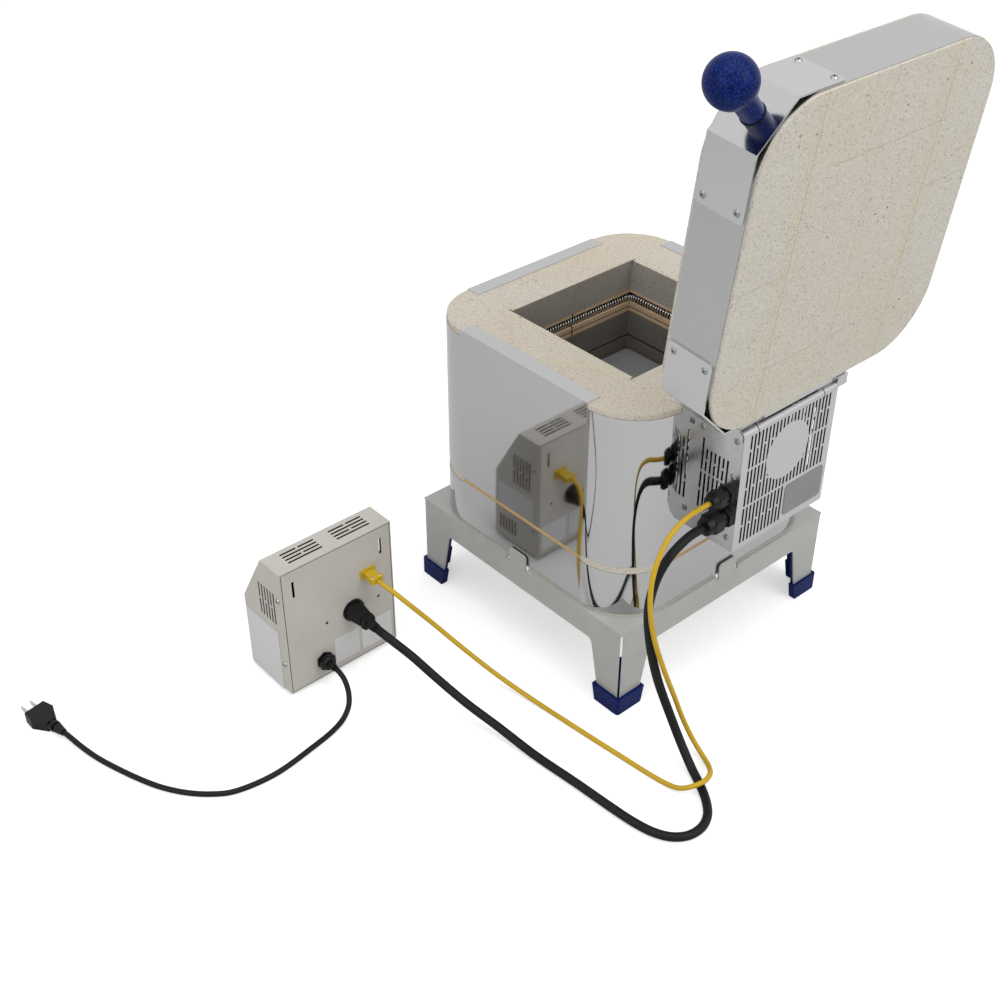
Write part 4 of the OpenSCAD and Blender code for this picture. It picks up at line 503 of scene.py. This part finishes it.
def bare_plates():
    """Grey plate, nearly white where it lies on the control box."""
    made = skin("plate_grey", (0.21, 0.21, 0.21), (0.18, 0.18, 0.18), 0.5)
    tree = made.node_tree
    shader = tree.nodes["Principled BSDF"]
    on_box = math_node(tree, "GREATER_THAN", split(tree, own_point(tree))[0], 0.1)
    grey = shader.inputs["Base Color"].links[0].from_socket
    wire(tree, shader, Base_Color=mix(tree, on_box, grey, (0.56, 0.56, 0.56)))
    return made


# Painted shade: the inside of the box's sheets is painted near black.
paint(darkened(skin("box_coat", (0.47, 0.45, 0.41), (0.43, 0.41, 0.37), 0.45, scale=1600,
                    Specular_IOR_Level=0.4), in_box), "box_cover", "box_back_panel")
paint(bare_plates(), "blank_plates")


# The blue mouldings. Ball knob and foot caps are moulded in a deep blue plastic with fine flecks; the knob
# is screwed to its stud, and the caps are pushed on the legs. A thin black ring between the knob's neck and
# its bracket is painted shade of the gap there.
def fleck_blue():
    """Deep blue plastic with pale and dark flecks: cells of one size, some picked by their own value."""
    made, tree, shader = finish("fleck_blue", Roughness=0.34, Specular_IOR_Level=0.08)
    place = own_point(tree)
    _, chance = cells(tree, place, 1500.0, "Red")
    deep = ramp(tree, noise(tree, place, 500.0, detail=4.0),
                [(0.35, (0.0003, 0.0022, 0.024)), (0.65, (0.0014, 0.012, 0.125))])
    flecks = ramp(tree, chance, [(0.8, 0.0), (1.0, 0.4)])
    wire(tree, shader, Base_Color=mix(tree, flecks, deep, (0.05, 0.14, 0.5)),
         Normal=bump(tree, chance, 0.12, 0.0002))
    return made


def turned(name, profile, origin, axis, sides=48):
    """Ring turned about an axis: the pairs of its closed profile are a radius and a height along the axis
    from the origin."""
    off_axis = (0.3, 0.9, 0.2)
    axis = np.array(axis, float) / np.linalg.norm(axis)
    first = np.cross(axis, off_axis)
    first /= np.linalg.norm(first)
    second = np.cross(axis, first)
    turn = np.linspace(0, 2 * np.pi, sides, endpoint=False)
    spokes = np.cos(turn)[:, None] * first + np.sin(turn)[:, None] * second
    rows = np.array([np.array(origin) + height * axis + radius * spokes for radius, height in profile])
    return grid_mesh(name, rows, closed=True, smooth=False, loop=True)


foot_caps = ["foot_cap_1", "foot_cap_2", "foot_cap_3", "foot_cap_4"]
paint(fleck_blue(), "lid_knob", *foot_caps)
soften(0.0012, *foot_caps)
# Painted shade: a black ring stands in for the dark gap under the knob's neck.
neck_shade_ring = turned("knob_neck_shade_ring", [(0.01142, 0.00005), (0.0124, 0.00005), (0.0124, 0.0006),
                                (0.0123, 0.0008), (0.01145, 0.0008)],
                row_point(158.34, 271.07, 764.34), (0.7071, 0.0788, 0.7027))
neck_shade_ring.data.materials.append(black_jacket)
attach(neck_shade_ring, "lid")


# Kiln furniture and element. Tan ceramic holders with grooves are let into the walls and carry the wound
# heating wire, whose tails leave through porcelain tubes to terminal blocks. A pale ceramic shelf stands on
# posts, and fibre seals lie in the jackets' seams. Shelf and posts are coloured mid grey and tubes and
# blocks dark grey as painted shade, and the holders' grooves and slits are painted near black as painted
# shade.
def in_groove(tree, x, y, z):
    """In a groove or slit of the holders, but not on the front of the groove's floor."""
    floors = math_node(tree, "ADD", strip(tree, z, 0.3410, 0.3414), strip(tree, z, 0.2345, 0.2349))
    front = math_node(tree, "SUBTRACT", 1.0, beyond_walls(tree, x, y, 0.1055))
    unlit = math_node(tree, "SUBTRACT", 1.0, product(tree, floors, front))
    return product(tree, beyond_walls(tree, x, y), unlit)


def wound_wire(height):
    """Centre line of a wound element in a row, in metres: a circle of the curl's radius carried round a
    square path with rounded corners from one tail to the other, and the lean along that path at each
    point. Tails come in above and go out below."""
    flat, corner, gap, turns, curl, rings_per_turn = 95.8, 12.0, 8.0, 190.5, 4.0, 16
    arc = corner * np.pi / 2
    share = np.linspace(0, 1, int(turns * rings_per_turn) + 1)
    u = gap + (4 * (2 * flat + arc) - 2 * gap) * share + flat
    side = np.floor(u / (2 * flat + arc))
    v = u - side * (2 * flat + arc)
    bent = np.maximum(0, v - 2 * flat) / arc * np.pi / 2
    x = np.where(v < 2 * flat, flat - v, -flat - corner * np.sin(bent))
    y = np.where(v < 2 * flat, flat + corner, flat + corner * np.cos(bent))
    quarter = side * np.pi / 2
    out = np.pi / 2 + quarter + bent
    around = np.pi / 2 + 2 * np.pi * turns * share
    radial = curl * np.cos(around)
    wire_x = x * np.cos(quarter) - y * np.sin(quarter) + radial * np.cos(out)
    wire_y = x * np.sin(quarter) + y * np.cos(quarter) + radial * np.sin(out)
    wire_line = np.stack([wire_x, wire_y, height + curl * np.sin(around)], 1)
    lean = np.stack([np.cos(out + np.pi / 2), np.sin(out + np.pi / 2), np.zeros(len(out))], 1)
    tail_y = (188.8, 150, 115.8)
    tail_in = [(-gap, place, height + curl) for place in tail_y]
    tail_out = [(gap, place, height - curl) for place in tail_y[::-1]]
    lean = np.vstack([[(-1, 0, 0)] * 3, lean, [(-1, 0, 0)] * 3])
    return (np.vstack([tail_in, wire_line, tail_out]) + (KILN_X, KILN_Y, 0)) / 1000, lean


holder_clay = skin("holder_clay", (0.5, 0.36, 0.22), (0.56, 0.42, 0.28), 0.8, scale=500, depth=0.3)
# Painted shade: the holders' grooves and slits are painted near black.
paint(darkened(holder_clay, in_groove), "element_holders", "thermocouple")
# Painted shade: the pale shelf and its posts are coloured mid grey for the chamber's shade.
paint(skin("shelf_clay_painted_shade", (0.2, 0.2, 0.205), (0.17, 0.17, 0.175), 0.75, scale=400, depth=0.3), "kiln_shelf",
      "shelf_posts")
# Painted shade: the porcelain tubes and terminal blocks are coloured dark grey for the shade around them.
paint(skin("porcelain", (0.1, 0.095, 0.09), (0.08, 0.075, 0.07), 0.35), "element_insulators",
      "terminal_blocks")
paint(skin("seal_fibre", (0.5, 0.34, 0.14), (0.42, 0.27, 0.1), 0.85, scale=700, depth=0.4), "seam_seals")
soften(0.0006, "kiln_shelf")
wire_metal = polished("wire_metal", (0.72, 0.71, 0.69), 0.32, 0.1)
for element, height in (("upper_element", 346.5), ("lower_element", 240.0)):
    path, lean = wound_wire(height)
    wire_radius, sides = 0.001, 8
    coil = grid_mesh("wound_" + element, sweep(path, wire_radius, sides, lean), closed=True, caps=True)
    coil.data.materials.append(wire_metal)
    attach(coil, "kiln")
    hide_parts(element)

# Plugs, sockets and glands. Moulded in black, and in yellow for the thermocouple's miniature plug and jack,
# whose halves are held by two small screws. The glands clamp the cables in the sheet, and the box stands on
# rubber feet.
paint(skin("black_moulding", (0.0025, 0.0025, 0.003), (0.005, 0.005, 0.005), 0.42, depth=0.15,
           Specular_IOR_Level=0.22), "tc_gland", "power_gland", "mains_gland", "power_outlet", "power_plug",
      "mains_plug", "power_relay", "power_switch", "power_rocker")
paint(skin("yellow_moulding", (0.5, 0.34, 0.01), (0.45, 0.3, 0.015), 0.5, Specular_IOR_Level=0.3),
      "tc_plug", "tc_jack")
paint(skin("foot_rubber", (0.02, 0.02, 0.02), (0.03, 0.03, 0.03), 0.7), "box_feet")
# Painted shade: the leads inside the housing are coloured near black for its shade.
paint(skin("lead_sleeve", (0.01, 0.01, 0.01), (0.016, 0.016, 0.016), 0.6), "inner_leads")
paint(polished("brass_metal", (0.62, 0.44, 0.17), 0.25, 0.05), "terminal_screws")
nickel_metal = polished("nickel_metal", (0.6, 0.58, 0.55), 0.2, 0.05)
paint(nickel_metal, "plug_blades")
soften(0.0012, "mains_plug")
soften(0.0007, "power_plug", "tc_plug")
soften(0.0004, "tc_gland", "power_gland", "mains_gland", "tc_jack", "power_outlet")
screw_profile = [(0.0004, 0.0), (0.0017, 0.0), (0.0017, 0.0003), (0.0014, 0.0006), (0.0004, 0.0006)]
for side in (-0.005, 0.005):
    screw = turned("plug_screw", screw_profile, (0.199825 + side, -0.1399, 0.13593), (0, 0, 1), sides=24)
    screw.data.materials.append(nickel_metal)
    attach(screw, "kiln")

# The controller. A green circuit board stands behind a dark panel on the slanted front, with a smoked red
# window over its display and three grey keys.
paint(skin("board_green", (0.02, 0.12, 0.04), (0.02, 0.09, 0.03), 0.35), "controller_board")
paint(skin("overlay", (0.02, 0.022, 0.025), (0.03, 0.03, 0.03), 0.45), "controller_panel")
paint(skin("smoked_red", (0.06, 0.004, 0.004), (0.05, 0.004, 0.004), 0.12), "display_window")
paint(skin("key_grey", (0.45, 0.45, 0.44), (0.4, 0.4, 0.4), 0.45), "key_1", "key_2", "key_3")


# The studio. A pale floor under everything, a white surround, and broad soft lamps.
def seen_directly(tree):
    """The light path's outputs, and a mask of rays that show a surface itself."""
    path = node(tree, "ShaderNodeLightPath").outputs
    return path, math_node(tree, "MAXIMUM", path["Is Camera Ray"], path["Is Transmission Ray"])


def floor_white():
    """Floor that is white where nothing shades it, and that lifts reflections a little."""
    made, tree, shader = finish("studio_floor", Roughness=1.0, Specular_IOR_Level=0.0,
                                Base_Color=(0.7, 0.7, 0.7, 1), Emission_Color=(1, 1, 1, 1))
    path, seen = seen_directly(tree)
    mirrored = product(tree, path["Is Glossy Ray"], 0.03)
    wire(tree, shader, Emission_Strength=math_node(tree, "MAXIMUM", product(tree, seen, 0.5), mirrored))
    return made


reach = 6.0
floor = grid_mesh("studio_floor", np.array([[(-reach, -reach, 0), (-reach, reach, 0)],
                                            [(reach, -reach, 0), (reach, reach, 0)]]))
floor.data.flip_normals()
floor.data.materials.append(floor_white())

world = bpy.data.worlds.new("surround")
world.use_nodes = True
sky = world.node_tree
path, seen = seen_directly(sky)
seen = math_node(sky, "MAXIMUM", seen, path["Is Glossy Ray"])
sky.nodes["Background"].inputs["Color"].default_value = (1, 1, 1, 1)
sky.links.new(rescale(sky, seen, (0.0, 1.0), (0.62, 1.0)), sky.nodes["Background"].inputs["Strength"])
bpy.context.scene.world = world


def soft_lamp(name, place, size, power, aim=(0, 0, 0.3)):
    """Square area lamp at a place, turned to its aim."""
    data = bpy.data.lights.new(name, "AREA")
    data.size = size
    data.energy = power
    made = bpy.data.objects.new(name, data)
    made.location = place
    away = np.array(place, float) - np.array(aim, float)
    made.rotation_euler = (math.atan2(math.hypot(away[0], away[1]), away[2]), 0,
                           math.atan2(away[1], away[0]) + math.pi / 2)
    bpy.context.scene.collection.objects.link(made)


soft_lamp("key_lamp", place=(-0.6, 2.6, 2.4), size=2.0, power=42)
soft_lamp("top_lamp", place=(0.2, 0.3, 3.0), size=2.2, power=30)
soft_lamp("side_lamp", place=(2.6, 0.2, 1.8), size=1.6, power=18)

bpy.context.scene.view_settings.view_transform = "Standard"
